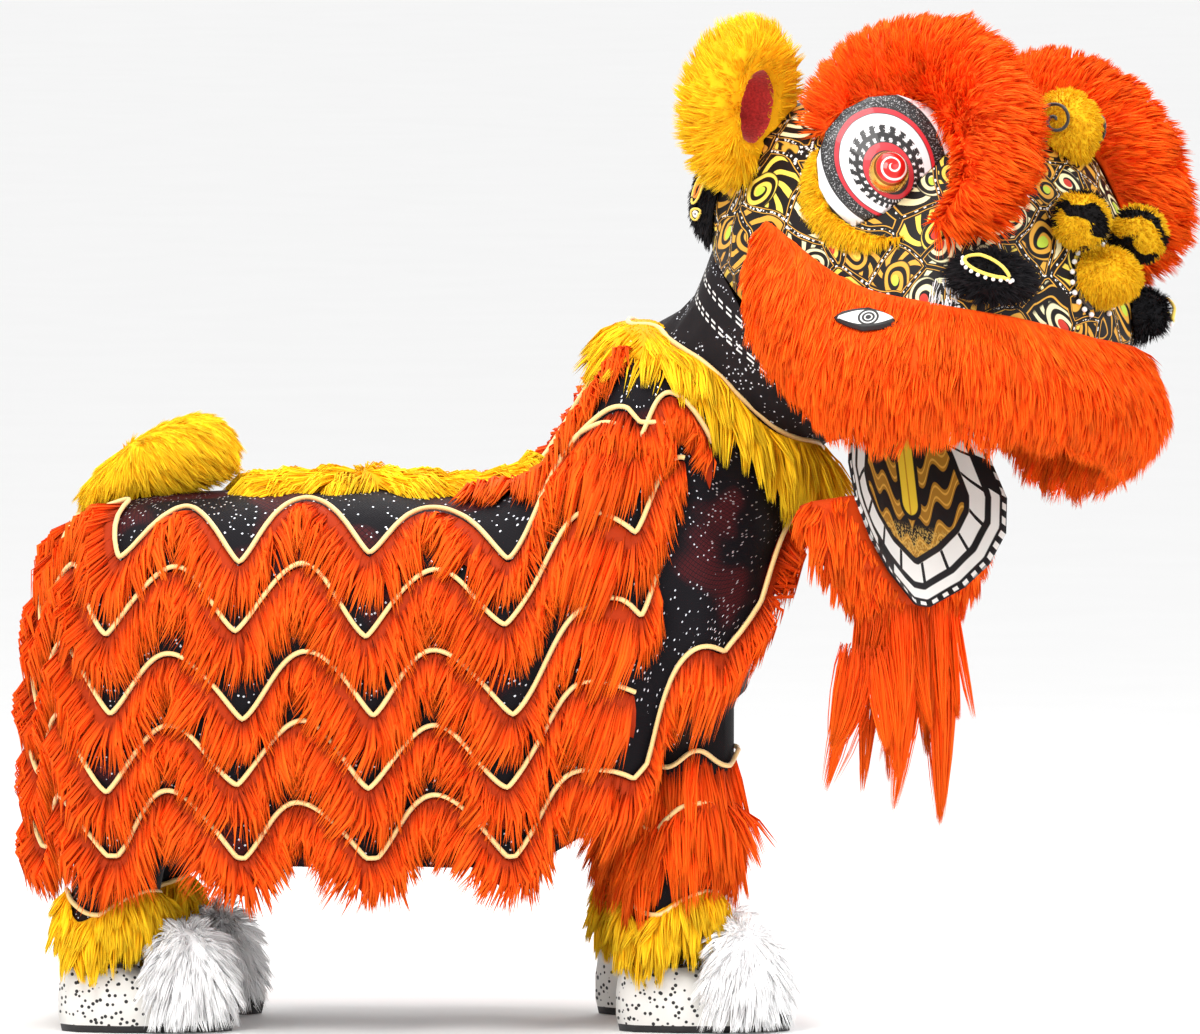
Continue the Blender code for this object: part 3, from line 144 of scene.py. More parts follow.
def smooth(table, at):
    """The row of a table at a value of its first column, on a smooth curve through its rows."""
    at = min(max(at, table[0][0]), table[-1][0])
    low = max(i for i in range(len(table) - 1) if table[i][0] <= at)
    span = table[low + 1][0] - table[low][0]
    share = (at - table[low][0]) / span

    def slope(row, column):
        before, after = table[max(row - 1, 0)], table[min(row + 1, len(table) - 1)]
        return (after[column] - before[column]) / (after[0] - before[0]) * span

    found = []
    for column in range(1, len(table[0])):
        start, end = table[low][column], table[low + 1][column]
        a, b = slope(low, column), slope(low + 1, column)
        found.append(
            (2 * share**3 - 3 * share**2 + 1) * start
            + (share**3 - 2 * share**2 + share) * a
            + (3 * share**2 - 2 * share**3) * end
            + (share**3 - share**2) * b
        )
    return found


def rear_x(share):
    """A share of the back, counted from the rear, as a place on the frame's x axis."""
    return (share - NECK_SHARE) * BACK_LENGTH


def neck_edge(turn):
    """A point of the neck opening's edge, at a turn from the back."""
    back, side = math.cos(turn), math.sin(turn)
    return Vector((-NECK_REACH * back, NECK_HALF_WIDTH * side, NECK_HEIGHT + NECK_LEAN * back))


def cloth_table():
    """The columns of the body cloth, from the middle of the rear to the throat."""
    table = []
    for at, x, y, z, *hem in BODY_COLUMNS:
        table.append((at, rear_x(x), y * BODY_HALF_WIDTH, z * BACK_HEIGHT, *hem))
    for at, turn, *hem in NECK_COLUMNS:
        table.append((at, *neck_edge(math.radians(turn)), *hem))
    return table


CLOTH_TABLE = cloth_table()


def column(along):
    """The start and the hem of the column of cloth at a share along one side."""
    side = -1 if along < 0 else 1
    x, y, z, hem_x, hem_y, hem_z = smooth(CLOTH_TABLE, abs(along))
    if abs(along) > NECK_COLUMNS[0][0]:
        turn = smooth([row[:2] for row in NECK_COLUMNS], abs(along))[0]
        x, y, z = neck_edge(math.radians(turn))
    elif abs(along) < NECK_COLUMNS[0][0]:
        y = 0.0
    top = Vector((x, side * y, z))
    hem = Vector((rear_x(hem_x), side * hem_y * BODY_HALF_WIDTH, hem_z * BACK_HEIGHT))
    return top, hem


def drape(along, down):
    """A point of the body cloth: along from -1, the throat on the lion's right, past 0, the
    middle of the rear, to 1; down from 0, the ridge or neck edge, to 1, the hem, and beyond."""
    top, hem = column(along)
    out, fall = smooth(BODY_PROFILE, min(down, 1.0))
    point = top.lerp(hem, out)
    point.z = top.z + (hem.z - top.z) * fall
    across = Vector((hem.x - top.x, hem.y - top.y, 0)).normalized()
    fold = math.cos(2 * math.pi * abs(along) * HALF_GIRTH / FOLD_PITCH)
    point += across * FOLD_DEPTH * fold * min(down, 1.0) ** 1.5
    point.z -= max(down - 1.0, 0.0) * (top - hem).length
    return point


def scallop(distance, phase):
    """The wave of a fringe's root line: broad rounded crests and narrow valleys, from -1 to 1."""
    turn = math.pi * (distance / FOLD_PITCH + phase)
    return 1 - 2 * abs(math.sin(turn)) ** 1.3


SHOULDER = 0.60  # where the tiers begin to turn down in front, along the cloth
SHOULDER_RUN = 0.12
LOWEST_ROW = 0.985


def tier_down(row, along):
    """How far down the cloth a tier's root line lies."""
    _, behind, front, _, phase, _ = TIERS[row]
    top, hem = column(along)
    share = min(max((abs(along) - SHOULDER) / SHOULDER_RUN, 0.0), 1.0)
    down = behind + (front - behind) * share * share * (3 - 2 * share)
    wave = SCALLOP / max((top - hem).length, 0.30)
    return min(down + wave * scallop(abs(along) * HALF_GIRTH, phase), LOWEST_ROW)


HEAD = (
    Matrix.Translation((HEAD_REACH, HEAD_ASIDE, HEAD_LIFT))
    @ Matrix.Rotation(HEAD_YAW, 4, "Z")
    @ Matrix.Rotation(HEAD_ROLL, 4, "X")
)
JAW = HEAD @ Matrix.Translation((HINGE_BACK, 0, HINGE_DROP)) @ Matrix.Rotation(JAW_OPEN, 4, "Y")


def head_point(x, y, z):
    """Shares of the head's length, half width and height, in metres."""
    return Vector((x * HEAD_LENGTH, y * HEAD_HALF_WIDTH, z * HEAD_HEIGHT))


def collar_line(turn):
    """The two ends of the collar at a turn in radians from the back: neck edge and head."""
    low = neck_edge(turn) - Vector((0, 0, NECK_HEIGHT))
    degrees = (math.degrees(turn - HEAD_YAW) + 180) % 360 - 180
    x, y, z = smooth(THROAT, abs(degrees))
    local = head_point(x, y if degrees >= 0 else -y, z)
    below = HEAD.to_3x3() @ Vector((0.55, 0, -0.83))
    return low, HEAD @ local + below * HEAD_WALL * 0.5


class Skin:
    """A surface known by two numbers, as a grid of points that is read between its corners."""

    def __init__(self, point, us, vs, middle, drop):
        self.us, self.vs = np.array(us, float), np.array(vs, float)
        self.points = np.array([[tuple(point(u, v)) for v in vs] for u in us])
        self.points[..., 2] -= drop
        along = np.gradient(self.points, self.us, axis=0)
        down = np.gradient(self.points, self.vs, axis=1)
        normals = np.cross(along, down)
        size = np.linalg.norm(normals, axis=2, keepdims=True)
        normals /= np.maximum(size, 1e-9)
        outward = (normals * (self.points - np.array(middle))).sum() > 0
        self.normals = normals if outward else -normals

    def read(self, grid, u, v):
        i = np.interp(u, self.us, np.arange(len(self.us)))
        j = np.interp(v, self.vs, np.arange(len(self.vs)))
        a, b = np.minimum(i.astype(int), len(self.us) - 2), np.minimum(j.astype(int), len(self.vs) - 2)
        i, j = (i - a)[..., None], (j - b)[..., None]
        low = grid[a, b] * (1 - j) + grid[a, b + 1] * j
        high = grid[a + 1, b] * (1 - j) + grid[a + 1, b + 1] * j
        return low * (1 - i) + high * i

    def at(self, u, v, lift=0.0):
        normal = self.read(self.normals, u, v)
        normal /= np.maximum(np.linalg.norm(normal, axis=-1, keepdims=True), 1e-9)
        return self.read(self.points, u, v) + normal * np.asarray(lift)[..., None]


# Shader maths


class Value:
    """A shader socket that adds, multiplies and compares as a number does."""

    def __init__(self, nodes, socket):
        self.nodes, self.socket = nodes, socket

    def maths(self, operation, *others):
        return self.nodes.node("ShaderNodeMath", {"operation": operation}, self, *others)

    def __rsub__(self, other):
        return self.nodes.node("ShaderNodeMath", {"operation": "SUBTRACT"}, other, self)

    def band(self, low, high, soft):
        """1 between low and high, with soft edges."""
        rise = self.nodes.step(self, low - soft, low + soft)
        fall = self.nodes.step(self, high - soft, high + soft)
        return rise * (1 - fall)


OPERATIONS = {
    "__add__": "ADD",
    "__radd__": "ADD",
    "__sub__": "SUBTRACT",
    "__mul__": "MULTIPLY",
    "__rmul__": "MULTIPLY",
    "__truediv__": "DIVIDE",
    "__lt__": "LESS_THAN",
    "__gt__": "GREATER_THAN",
    "__abs__": "ABSOLUTE",
    "sine": "SINE",
    "root": "SQRT",
    "fraction": "FRACT",
    "least": "MINIMUM",
    "most": "MAXIMUM",
}
for method, operation in OPERATIONS.items():
    setattr(Value, method, partialmethod(Value.maths, operation))


class Finish:
    """A node material, built by expressions."""

    def __init__(self, name):
        self.material = bpy.data.materials.new(name)
        self.material.use_nodes = True
        self.tree = self.material.node_tree
        self.shader = self.tree.nodes["Principled BSDF"]

    def put(self, socket, value):
        if isinstance(value, Value):
            self.tree.links.new(value.socket, socket)
        elif isinstance(value, tuple) and len(value) == 3 and len(socket.default_value) == 4:
            socket.default_value = (*value, 1)
        else:
            socket.default_value = value

    def node(self, kind, settings, *values, output=0, **named):
        made = self.tree.nodes.new(kind)
        for key, value in settings.items():
            if key == "stops":
                self.ramp(made, value)
            else:
                setattr(made, key, value)
        for socket, value in zip(made.inputs, values):
            if value is not None:
                self.put(socket, value)
        for key, value in named.items():
            self.put(made.inputs[key.replace("_", " ")], value)
        return Value(self, made.outputs[output])

    def ramp(self, made, stops):
        elements = made.color_ramp.elements
        while len(elements) < len(stops):
            elements.new(1.0)
        for element, (place, colour) in zip(elements, stops):
            element.position = place
            element.color = (*colour, 1)

    def attribute(self, name):
        return self.node("ShaderNodeAttribute", {"attribute_name": name}, output=2)

    def coordinates(self, kind="Object"):
        return self.node("ShaderNodeTexCoord", {}, output=("Generated", "Normal", "UV", "Object").index(kind))

    def parts(self, vector):
        return [self.node("ShaderNodeSeparateXYZ", {}, vector, output=i) for i in range(3)]

    def vector(self, x, y, z=0.0):
        return self.node("ShaderNodeCombineXYZ", {}, x, y, z)

    def step(self, value, low, high):
        settings = {"interpolation_type": "SMOOTHSTEP"}
        return self.node("ShaderNodeMapRange", settings, value, low, high, 0.0, 1.0)

    def noise(self, scale, detail, place=None):
        place = place or self.coordinates()
        return self.node("ShaderNodeTexNoise", {}, Vector=place, Scale=scale, Detail=detail)

    def mix(self, share, first, second):
        blank = (None,) * 5
        return self.node("ShaderNodeMix", {"data_type": "RGBA"}, share, *blank, first, second, output=2)

    def paint(self, colour, *coats):
        """Lays coats, each a share and a shade, over a colour one after another."""
        for share, shade in coats:
            colour = self.mix(share, colour, shade)
        return colour

    def cells(self, place, scale, feature="F1", output=0):
        settings = {"feature": feature}
        return self.node("ShaderNodeTexVoronoi", settings, output=output, Vector=place, Scale=scale)

    def scale(self, colour, share):
        return self.node("ShaderNodeVectorMath", {"operation": "SCALE"}, colour, Scale=share)

    def bump(self, height, strength, distance):
        made = self.node("ShaderNodeBump", {}, Height=height, Strength=strength, Distance=distance)
        self.put(self.shader.inputs["Normal"], made)

    def set(self, colour=None, **named):
        if colour is not None:
            self.put(self.shader.inputs["Base Color"], colour)
        for key, value in named.items():
            self.put(self.shader.inputs[key.replace("_", " ")], value)
        return self.material


def fur_finish(name, root, middle, tip):
    """Fur: dark at the root with painted shade, bright along the strand, each strand in its own random tint.
    """
    make = Finish(name)
    along, tint = make.attribute("along"), make.attribute("tint")
    # The first stop is painted shade: dark roots deep in the fur.
    stops = [(0.0, root), (0.34, middle), (1.0, tip)]
    body = make.node("ShaderNodeValToRGB", {"stops": stops}, along)
    streak = make.noise(26.0, 3.0)
    shade = 0.62 + tint * 0.50 + streak * 0.22
    return make.set(make.scale(body, shade), Roughness=0.75, Specular_IOR_Level=0.18)


# Each fur's first colour is the painted shade at its roots.
ORANGE_FUR = fur_finish("orange_fur", (0.22, 0.010, 0.001), (0.97, 0.088, 0.002), (1.0, 0.155, 0.005))
YELLOW_FUR = fur_finish("yellow_fur", (0.62, 0.27, 0.002), (0.99, 0.53, 0.004), (1.0, 0.68, 0.02))
WHITE_FUR = fur_finish("white_fur", (0.82, 0.81, 0.86), (0.97, 0.96, 0.98), (1.0, 1.0, 1.0))
BLACK_FUR = fur_finish("black_fur", (0.002, 0.002, 0.003), (0.010, 0.009, 0.011), (0.035, 0.032, 0.036))


def satin_finish(name, dark, light):
    """Smooth, slightly glossy: piping, cords and beads."""
    make = Finish(name)
    grain = make.noise(300.0, 2.0)
    make.bump(grain, 0.25, 0.0005)
    return make.set(make.mix(grain, dark, light), Roughness=0.45, Sheen_Weight=0.3)


PIPING_CLOTH = satin_finish("piping_satin", (0.92, 0.58, 0.18), (1.0, 0.74, 0.34))
YELLOW_CORD = satin_finish("yellow_cord", (0.90, 0.62, 0.04), (0.98, 0.80, 0.16))
ORANGE_CORD = satin_finish("orange_cord", (0.80, 0.20, 0.01), (0.95, 0.34, 0.03))
BLACK_CORD = satin_finish("black_cord", (0.006, 0.005, 0.006), (0.020, 0.018, 0.020))
WHITE_BEADS = satin_finish("white_beads", (0.84, 0.84, 0.82), (0.95, 0.95, 0.93))


# Meshes from points


def mesh_of(name, points, faces):
    """A smooth-shaded mesh from an array of points and an array of faces of one size."""
    mesh = bpy.data.meshes.new(name)
    points, faces = np.asarray(points, np.float32), np.asarray(faces, np.int32)
    mesh.vertices.add(len(points))
    mesh.vertices.foreach_set("co", points.ravel())
    mesh.loops.add(faces.size)
    mesh.loops.foreach_set("vertex_index", faces.ravel())
    mesh.polygons.add(len(faces))
    mesh.polygons.foreach_set("loop_start", np.arange(0, faces.size, faces.shape[1]))
    mesh.polygons.foreach_set("use_smooth", np.ones(len(faces), bool))
    mesh.update(calc_edges=True)
    mesh.validate()
    return mesh


def attribute(mesh, name, values):
    """Keeps a number for each point of a mesh, for its finish."""
    made = mesh.attributes.new(name, "FLOAT", "POINT")
    made.data.foreach_set("value", np.asarray(values, np.float32))


def piece(name, mesh, finish, *nodes, slot=None, body="costume"):
    """A finished piece that rides on a body and stands for CAD nodes."""
    made = bpy.data.objects.new(name, mesh)
    bpy.context.scene.collection.objects.link(made)
    mesh.materials.append(finish)
    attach(made, body)
    if nodes:
        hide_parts(*nodes)
    return made


def unit(vectors):
    return vectors / np.maximum(np.linalg.norm(vectors, axis=-1, keepdims=True), 1e-9)


def grid_faces(rows, columns, round_rows=False, round_columns=False):
    """Quads between a grid of points, closed round where asked."""
    i, j = np.meshgrid(
        np.arange(rows if round_rows else rows - 1),
        np.arange(columns if round_columns else columns - 1),
        indexing="ij",
    )
    a, b = i * columns, (i + 1) % rows * columns
    k = (j + 1) % columns
    return np.stack([a + j, b + j, b + k, a + k], axis=-1).reshape(-1, 4)


TUBE_SIDES = 6


def tube(points, radius, closed):
    """Rings round a line of points, as points and quads."""
    points = np.asarray(points, float)
    if closed:
        ways = unit(np.roll(points, -1, 0) - np.roll(points, 1, 0))
    else:
        ways = unit(np.gradient(points, axis=0))
    first = unit(np.cross(ways, (0.13, 0.21, 0.97)))
    second = np.cross(ways, first)
    turns = 2 * math.pi * np.arange(TUBE_SIDES) / TUBE_SIDES
    ring = first[:, None] * np.cos(turns)[:, None] + second[:, None] * np.sin(turns)[:, None]
    rings = points[:, None] + ring * radius
    return rings.reshape(-1, 3), grid_faces(len(points), TUBE_SIDES, closed, True)


class Parts:
    """Meshes gathered into one."""

    def __init__(self):
        self.points, self.faces, self.values, self.count = [], [], {}, 0

    def add(self, points, faces, **values):
        self.points.append(np.asarray(points, float))
        self.faces.append(np.asarray(faces) + self.count)
        self.count += len(points)
        for key, value in values.items():
            value = np.broadcast_to(np.asarray(value, float), (len(points),))
            self.values.setdefault(key, []).append(value)

    def mesh(self, name):
        made = mesh_of(name, np.concatenate(self.points), np.concatenate(self.faces))
        for key, value in self.values.items():
            attribute(made, key, np.concatenate(value))
        return made


# Fur

FOLD = 3  # points across a strand
TAPER = (0.75, 1.0, 0.85, 0.6)


def strands(paths, widths, tints, rng):
    """Tapered strands, each an open fold of two faces, along paths of shape strands, points, 3:
    points, triangles, share along each strand, and tints."""
    count, rings = len(paths), paths.shape[1] - 1
    ways = unit(np.gradient(paths, axis=1))[:, :rings]
    side = unit(np.cross(ways, unit(rng.normal(size=(count, 1, 3)))))
    other = np.cross(ways, side)
    taper = np.array(TAPER[:rings] if rings > 1 else [1.0])
    reach = (widths[:, None] * taper / 2)[..., None, None]
    turns = 2 * math.pi * np.arange(FOLD) / FOLD
    ring = side[:, :, None] * np.cos(turns)[:, None] + other[:, :, None] * np.sin(turns)[:, None]
    corners = paths[:, :rings, None] + ring * reach
    points = np.concatenate([corners.reshape(count, rings * FOLD, 3), paths[:, -1:]], axis=1)
    size = rings * FOLD + 1
    faces = []
    for i in range(rings - 1):
        for a in range(i * FOLD, i * FOLD + FOLD - 1):
            faces += [(a, a + 1, a + FOLD + 1), (a, a + FOLD + 1, a + FOLD)]
    for a in range(size - 1 - FOLD, size - 2):
        faces.append((a, a + 1, size - 1))
    faces = np.array(faces)[None] + (np.arange(count) * size)[:, None, None]
    share = np.append(np.repeat(np.linspace(0, 1, rings + 1)[:-1], FOLD), 1.0)
    along = np.tile(share, count)
    return points.reshape(-1, 3), faces.reshape(-1, 3), along, np.repeat(tints, size)


def locks(places, pitch, rng):
    """The middle of the lock that each place along a line belongs to, and a number for it."""
    number = np.floor(places / pitch + rng.uniform(-0.25, 0.25, len(places))).astype(int)
    number -= number.min()
    jitter = rng.uniform(-0.4, 0.4, number.max() + 1) * pitch
    base = math.floor(places.min() / pitch)
    return (number + base + 0.5) * pitch + jitter[number], number


FRINGE_LAYERS = [
    # share of the strands, width
    (0.50, 0.0066),
    (0.30, 0.0044),
    (0.20, 0.0026),
]
FRINGE_JOINTS = 2
TIER_DENSITY = 2350
SHOULDER_DENSITY = 2100
LOCK_PITCH = 0.021
FRINGE_FAN = 0.45
FRINGE_PULL = 0.7
FRINGE_FOOT = 0.002


def body_reach(along):
    """Metres of cloth from the ridge or neck edge to the hem."""
    top, hem = column(along)
    return max((top - hem).length, 0.05)


def fringe(skin, line, span, hair, density, rng, bulge=0.034, room=None):
    """Hair along a root line on the body. line gives the place down the cloth at each place
    along it, density is strands for each metre, and room gives the metres from the line to the
    next one, which the hair leaves in sight."""
    gathered = Parts()
    table = np.linspace(*span, 900)
    downs = np.array([line(u) for u in table])
    metres = np.array([body_reach(u) for u in table])
    slopes = np.gradient(downs, table) * metres / HALF_GIRTH
    length = np.concatenate([[0], np.cumsum(np.diff(table) * HALF_GIRTH)])
    steps = np.linspace(0, 1, FRINGE_JOINTS + 1)
    rise = np.interp(steps, (0, 0.25, 0.55, 0.8, 1), (0.10, 0.72, 1.0, 0.82, 0.50))
    for part, width in FRINGE_LAYERS:
        count = int(density * part * length[-1])
        place = rng.uniform(0, length[-1], count)
        depth = rng.uniform(0, 1, count) ** 0.8
        middle, number = locks(place, LOCK_PITCH, rng)
        lock_sway = rng.normal(0, 0.010, number.max() + 1)[number]
        lock_long = rng.uniform(0.80, 1.06, number.max() + 1)[number]
        lock_lift = rng.uniform(0.75, 1.15, number.max() + 1)[number]
        u0 = np.interp(place, length, table)
        v0 = np.interp(u0, table, downs)
        lean = -np.clip(np.interp(u0, table, slopes), -1.1, 1.1) * FRINGE_FAN
        reach = hair
        if room is not None:
            reach = np.minimum(hair, np.interp(u0, table, [room(u) for u in table]))
        long = reach * lock_long * rng.uniform(0.82, 1.0, count) * (1.0 - 0.10 * depth)
        sway = (middle - place) * FRINGE_PULL + lock_sway + rng.normal(0, 0.004, count)
        du = lean[:, None] * long[:, None] * (steps - 0.25 * steps**2) + sway[:, None] * steps**1.4
        fall = np.sqrt(np.maximum(1 - (lean[:, None] * (1 - 0.4 * steps)) ** 2 * 0.6, 0.3))
        dv = long[:, None] * steps * fall + rng.uniform(0, 0.006, count)[:, None]
        u = u0[:, None] + du / HALF_GIRTH
        v = v0[:, None] + dv / np.interp(u0, table, metres)[:, None]
        lift = FRINGE_FOOT + (0.12 + 0.88 * depth * lock_lift)[:, None] * bulge * rise
        tints = np.clip(rng.normal(0.5, 0.22, count) + 0.25 * (lock_long - 0.93), 0, 1)
        # Painted shade: strands that lie deep against the cloth are darkened.
        tints = tints * (0.55 + 0.45 * depth)
        paths = skin.at(u, v, lift)
        points, faces, along, tint = strands(paths, width * rng.uniform(0.7, 1.2, count), tints, rng)
        gathered.add(points, faces, along=along, tint=tint)
    return gathered


BACKING = [
    # share of its length, lift as a share of its height
    (0.0, 0.0),
    (0.02, 0.5),
    (0.30, 1.0),
    (0.62, 0.85),
    (0.86, 0.25),
    (0.88, 0.0),
    (0.86, 0.0),
    (0.5, 0.0),
    (0.0, 0.0),
]
BACKING_CUTS = 420
BACKING_HEIGHT = 0.013
BACKING_FOOT = 0.0012
BACKING_SHARE = 0.624  # length, as a share of the hair's


def backing(gathered, skin, line, span, long):
    """The woven strip that the hair is knotted into, under it."""
    us = np.linspace(*span, BACKING_CUTS)
    downs = np.array([line(u) for u in us])
    metres = np.array([body_reach(u) for u in us])
    shares, lifts = np.array(BACKING).T
    lifts = np.where(lifts > 0, lifts * BACKING_HEIGHT, BACKING_FOOT)
    ragged = 1 + 0.10 * np.sin(us * 97) * np.sin(us * 41)
    v = downs[:, None] + shares * long * ragged[:, None] / metres[:, None]
    u = np.broadcast_to(us[:, None], v.shape)
    points = skin.at(u, v, np.broadcast_to(lifts, v.shape))
    faces = grid_faces(BACKING_CUTS, len(shares))
    triangles = np.concatenate([faces[:, [0, 1, 2]], faces[:, [0, 2, 3]]])
    # The strip takes the fur's dark root colour, painted shade under the hair.
    gathered.add(points.reshape(-1, 3), triangles, along=0.10, tint=0.25)


def rope(name, line, radius=PIPING, finish=PIPING_CLOTH, closed=True):
    """A piping or a cord along a line."""
    piece(name, mesh_of(name, *tube(line, radius, closed)), finish)


def row_piping(name, skin, line, span, count):
    """The piping just above a row's root line."""
    us = np.linspace(*span, count)
    downs = np.array([line(u) - PIPING_RISE / body_reach(u) for u in us])
    rope(f"{name}_piping", skin.at(us, downs, np.full(count, PIPING + PIPING_LIFT)), closed=False)


# The body


def make_body():
    """The body's draped surface, and some of the way below its hem for the hair."""
    us = np.linspace(-1, 1, 441)
    vs = np.append(np.linspace(0, 1, 34), np.linspace(1.05, 1.45, 7))
    return Skin(drape, us, vs, middle=(rear_x(0.55), 0.0, -0.6), drop=NECK_HEIGHT)


def tier_line(row, along):
    """A tier's root line, with the uneven hang of the sewn rows."""
    sway = 0.5 + 0.5 * math.sin(31.0 * along + 2.1 * row) * math.sin(13.0 * along + row)
    level = 0.006 * math.sin(19.0 * along + 4.0 * row)
    ragged = (0.016 * sway - 0.008) * scallop(abs(along) * HALF_GIRTH, TIERS[row][4])
    return min(tier_down(row, along) + (level + ragged) / body_reach(along), LOWEST_ROW)


def tier_piece(row, skin, rng):
    """One tier of fringe, with its backing and its piping."""
    name, _, _, end, phase, hair = TIERS[row]

    def line(along):
        return tier_line(row, along)

    def room(along):
        crest = 0.5 - 0.5 * scallop(abs(along) * HALF_GIRTH, phase)
        gap = (tier_line(row + 1, along) - line(along)) * body_reach(along)
        return max(gap, 0.05) * (1.04 - 0.20 * crest)

    last = row == len(TIERS) - 1
    gathered = fringe(skin, line, (-end, end), hair, TIER_DENSITY, rng, room=None if last else room)
    backing(gathered, skin, line, (-end, end), hair * BACKING_SHARE)
    piece(f"{name}_fur", gathered.mesh(name), ORANGE_FUR, name, slot="orange_fur")
    row_piping(name, skin, line, (-end, end), 640)


SHOULDER_ROWS = [
    # start and end along one side, down the cloth at the start, middle and end, hair
    (0.575, 0.760, 0.035, 0.090, 0.150, 0.085),
    (0.650, 0.825, 0.205, 0.262, 0.320, 0.080),
]


def shoulder_rows(skin):
    """Short rows of orange fringe that climb from the back to the neck, on both sides."""
    for number, (start, end, first, middle, last, hair) in enumerate(SHOULDER_ROWS):

        def line(along):
            share = (abs(along) - start) / (end - start)
            hump = (middle - (first + last) / 2) * math.sin(math.pi * share)
            wave = 0.020 * scallop(abs(along) * HALF_GIRTH, 0.30 + 0.4 * number)
            return first * (1 - share) + last * share + hump + wave / body_reach(along)

        for side, way in SIDES:
            span = sorted((start * way, end * way))
            rng = np.random.default_rng(90 + number * 2 + way)
            gathered = fringe(skin, line, span, hair, SHOULDER_DENSITY, rng, bulge=0.030)
            name = f"shoulder_{number + 1}_{side}"
            piece(f"{name}_fur", gathered.mesh(name), ORANGE_FUR, slot="orange_fur")
            row_piping(name, skin, line, span, 120)


def cloth_finish():
    """Black stage cloth: net over a dark red lining in places, and scattered sequins."""
    make = Finish("sequined_black_cloth")
    u, v, _ = make.parts(make.coordinates("UV"))
    weave = (u * 1100.0).sine() * (v * 1100.0).sine()
    patches = make.noise(5.0, 2.0)
    warp, weft = (u * 260.0 + v * 260.0).sine(), (u * 260.0 - v * 260.0).sine()
    net = make.step(abs(warp).least(abs(weft)), 0.10, 0.30)
    red = make.step(patches, 0.52, 0.60) * net
    colour = make.mix(red, (0.006, 0.005, 0.007), (0.060, 0.008, 0.010))
    place = make.vector(u, v)
    spot = make.cells(place, 120.0)
    chance = make.parts(make.cells(place, 120.0, output=1))[0]
    field = make.noise(9.0, 2.0)
    sequin = (1 - make.step(spot, 0.20, 0.27)) * (chance + field * 1.2 > 1.22)
    colour = make.mix(sequin, colour, (0.78, 0.80, 0.86))
    make.bump(weave * 0.5 + sequin, 0.5, 0.0006)
    return make.set(
        colour, Roughness=0.66 - sequin * 0.40, Metallic=sequin * 0.65, Specular_IOR_Level=0.12
    )


BLACK_CLOTH = cloth_finish()


def sheet_mesh(name, skin, us, vs, scale_u, scale_v):
    """A cloth wall on a skin, with a UV map in metres."""
    u, v = np.meshgrid(us, vs, indexing="ij")
    outer = skin.at(u, v)
    inner = skin.at(u, v, np.full(u.shape, -CLOTH))
    rows, columns = u.shape
    half = rows * columns
    front = grid_faces(rows, columns)
    i, j = np.arange(rows - 1) * columns, np.arange(columns - 1)
    next_i, edge, last = i + columns, columns - 1, (rows - 1) * columns
    faces = [
        front,
        front[:, ::-1] + half,
        np.stack([i, i + half, next_i + half, next_i], axis=-1),
        np.stack([i + edge, next_i + edge, next_i + edge + half, i + edge + half], axis=-1),
        np.stack([j, j + 1, j + 1 + half, j + half], axis=-1),
        np.stack([last + j, last + j + half, last + j + 1 + half, last + j + 1], axis=-1),
    ]
    points = np.concatenate([outer.reshape(-1, 3), inner.reshape(-1, 3)])
    mesh = mesh_of(name, points, np.concatenate(faces))
    shape = bmesh.new()
    shape.from_mesh(mesh)
    marks = np.stack([u * scale_u, v * scale_v], axis=-1).reshape(-1, 2)
    layer = shape.loops.layers.uv.new("cloth")
    for face in shape.faces:
        for loop in face.loops:
            loop[layer].uv = marks[loop.vert.index % half]
    bmesh.ops.remove_doubles(shape, verts=shape.verts, dist=1e-6)
    if shape.calc_volume(signed=True) < 0:
        bmesh.ops.reverse_faces(shape, faces=shape.faces)
    shape.to_mesh(mesh)
    shape.free()
    return mesh


PATTERN_DOWN = 0.8  # metres of the cloth's pattern from the ridge to the hem


def make_cloth(skin):
    """The body cloth, stretched from the ridge to the hem."""
    us, vs = np.linspace(-1, 1, 300), np.linspace(0, 1, 34)
    mesh = sheet_mesh("body_cloth", skin, us, vs, HALF_GIRTH, PATTERN_DOWN)
    made = piece("sequined_body_cloth", mesh, BLACK_CLOTH, "body_cloth", slot="black_cloth")


# Pieces made from the pads and skins of the frame


def rounded(shape, name):
    """A smooth-shaded mesh from a shape, which it frees."""
    mesh = bpy.data.meshes.new(name)
    shape.to_mesh(mesh)
    shape.free()
    for face in mesh.polygons:
        face.use_smooth = True
    return mesh


def merged(node, level=1, rounding=0.5):
    """A copy of a CAD node's mesh with its corners joined, finer and rounder level times."""
    shape = bmesh.new()
    shape.from_mesh(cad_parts[node].data)
    bmesh.ops.remove_doubles(shape, verts=shape.verts, dist=1e-5)
    for _ in range(level):
        bmesh.ops.subdivide_edges(shape, edges=shape.edges, cuts=1, use_grid_fill=True)
        if rounding:
            bmesh.ops.smooth_vert(
                shape, verts=shape.verts, factor=rounding,
                use_axis_x=True, use_axis_y=True, use_axis_z=True,
            )
    bmesh.ops.triangulate(shape, faces=shape.faces)
    return rounded(shape, f"{node}_skin")


def arrays(mesh):
    """Points, triangles and the points' normals of a mesh of triangles."""
    points = np.empty(len(mesh.vertices) * 3, np.float32)
    normals = np.empty(len(mesh.vertices) * 3, np.float32)
    triangles = np.empty(len(mesh.polygons) * 3, np.int32)
    mesh.vertices.foreach_get("co", points)
    mesh.vertices.foreach_get("normal", normals)
    mesh.polygons.foreach_get("vertices", triangles)
    return points.reshape(-1, 3), triangles.reshape(-1, 3), normals.reshape(-1, 3)


def tree_of(*nodes):
    """CAD nodes as one surface that rays can meet."""
    points, faces = [], []
    for node in nodes:
        start = len(points)
        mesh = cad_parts[node].data
        points += [v.co.copy() for v in mesh.vertices]
        faces += [[start + i for i in f.vertices] for f in mesh.polygons]
    return BVHTree.FromPolygons(points, faces)


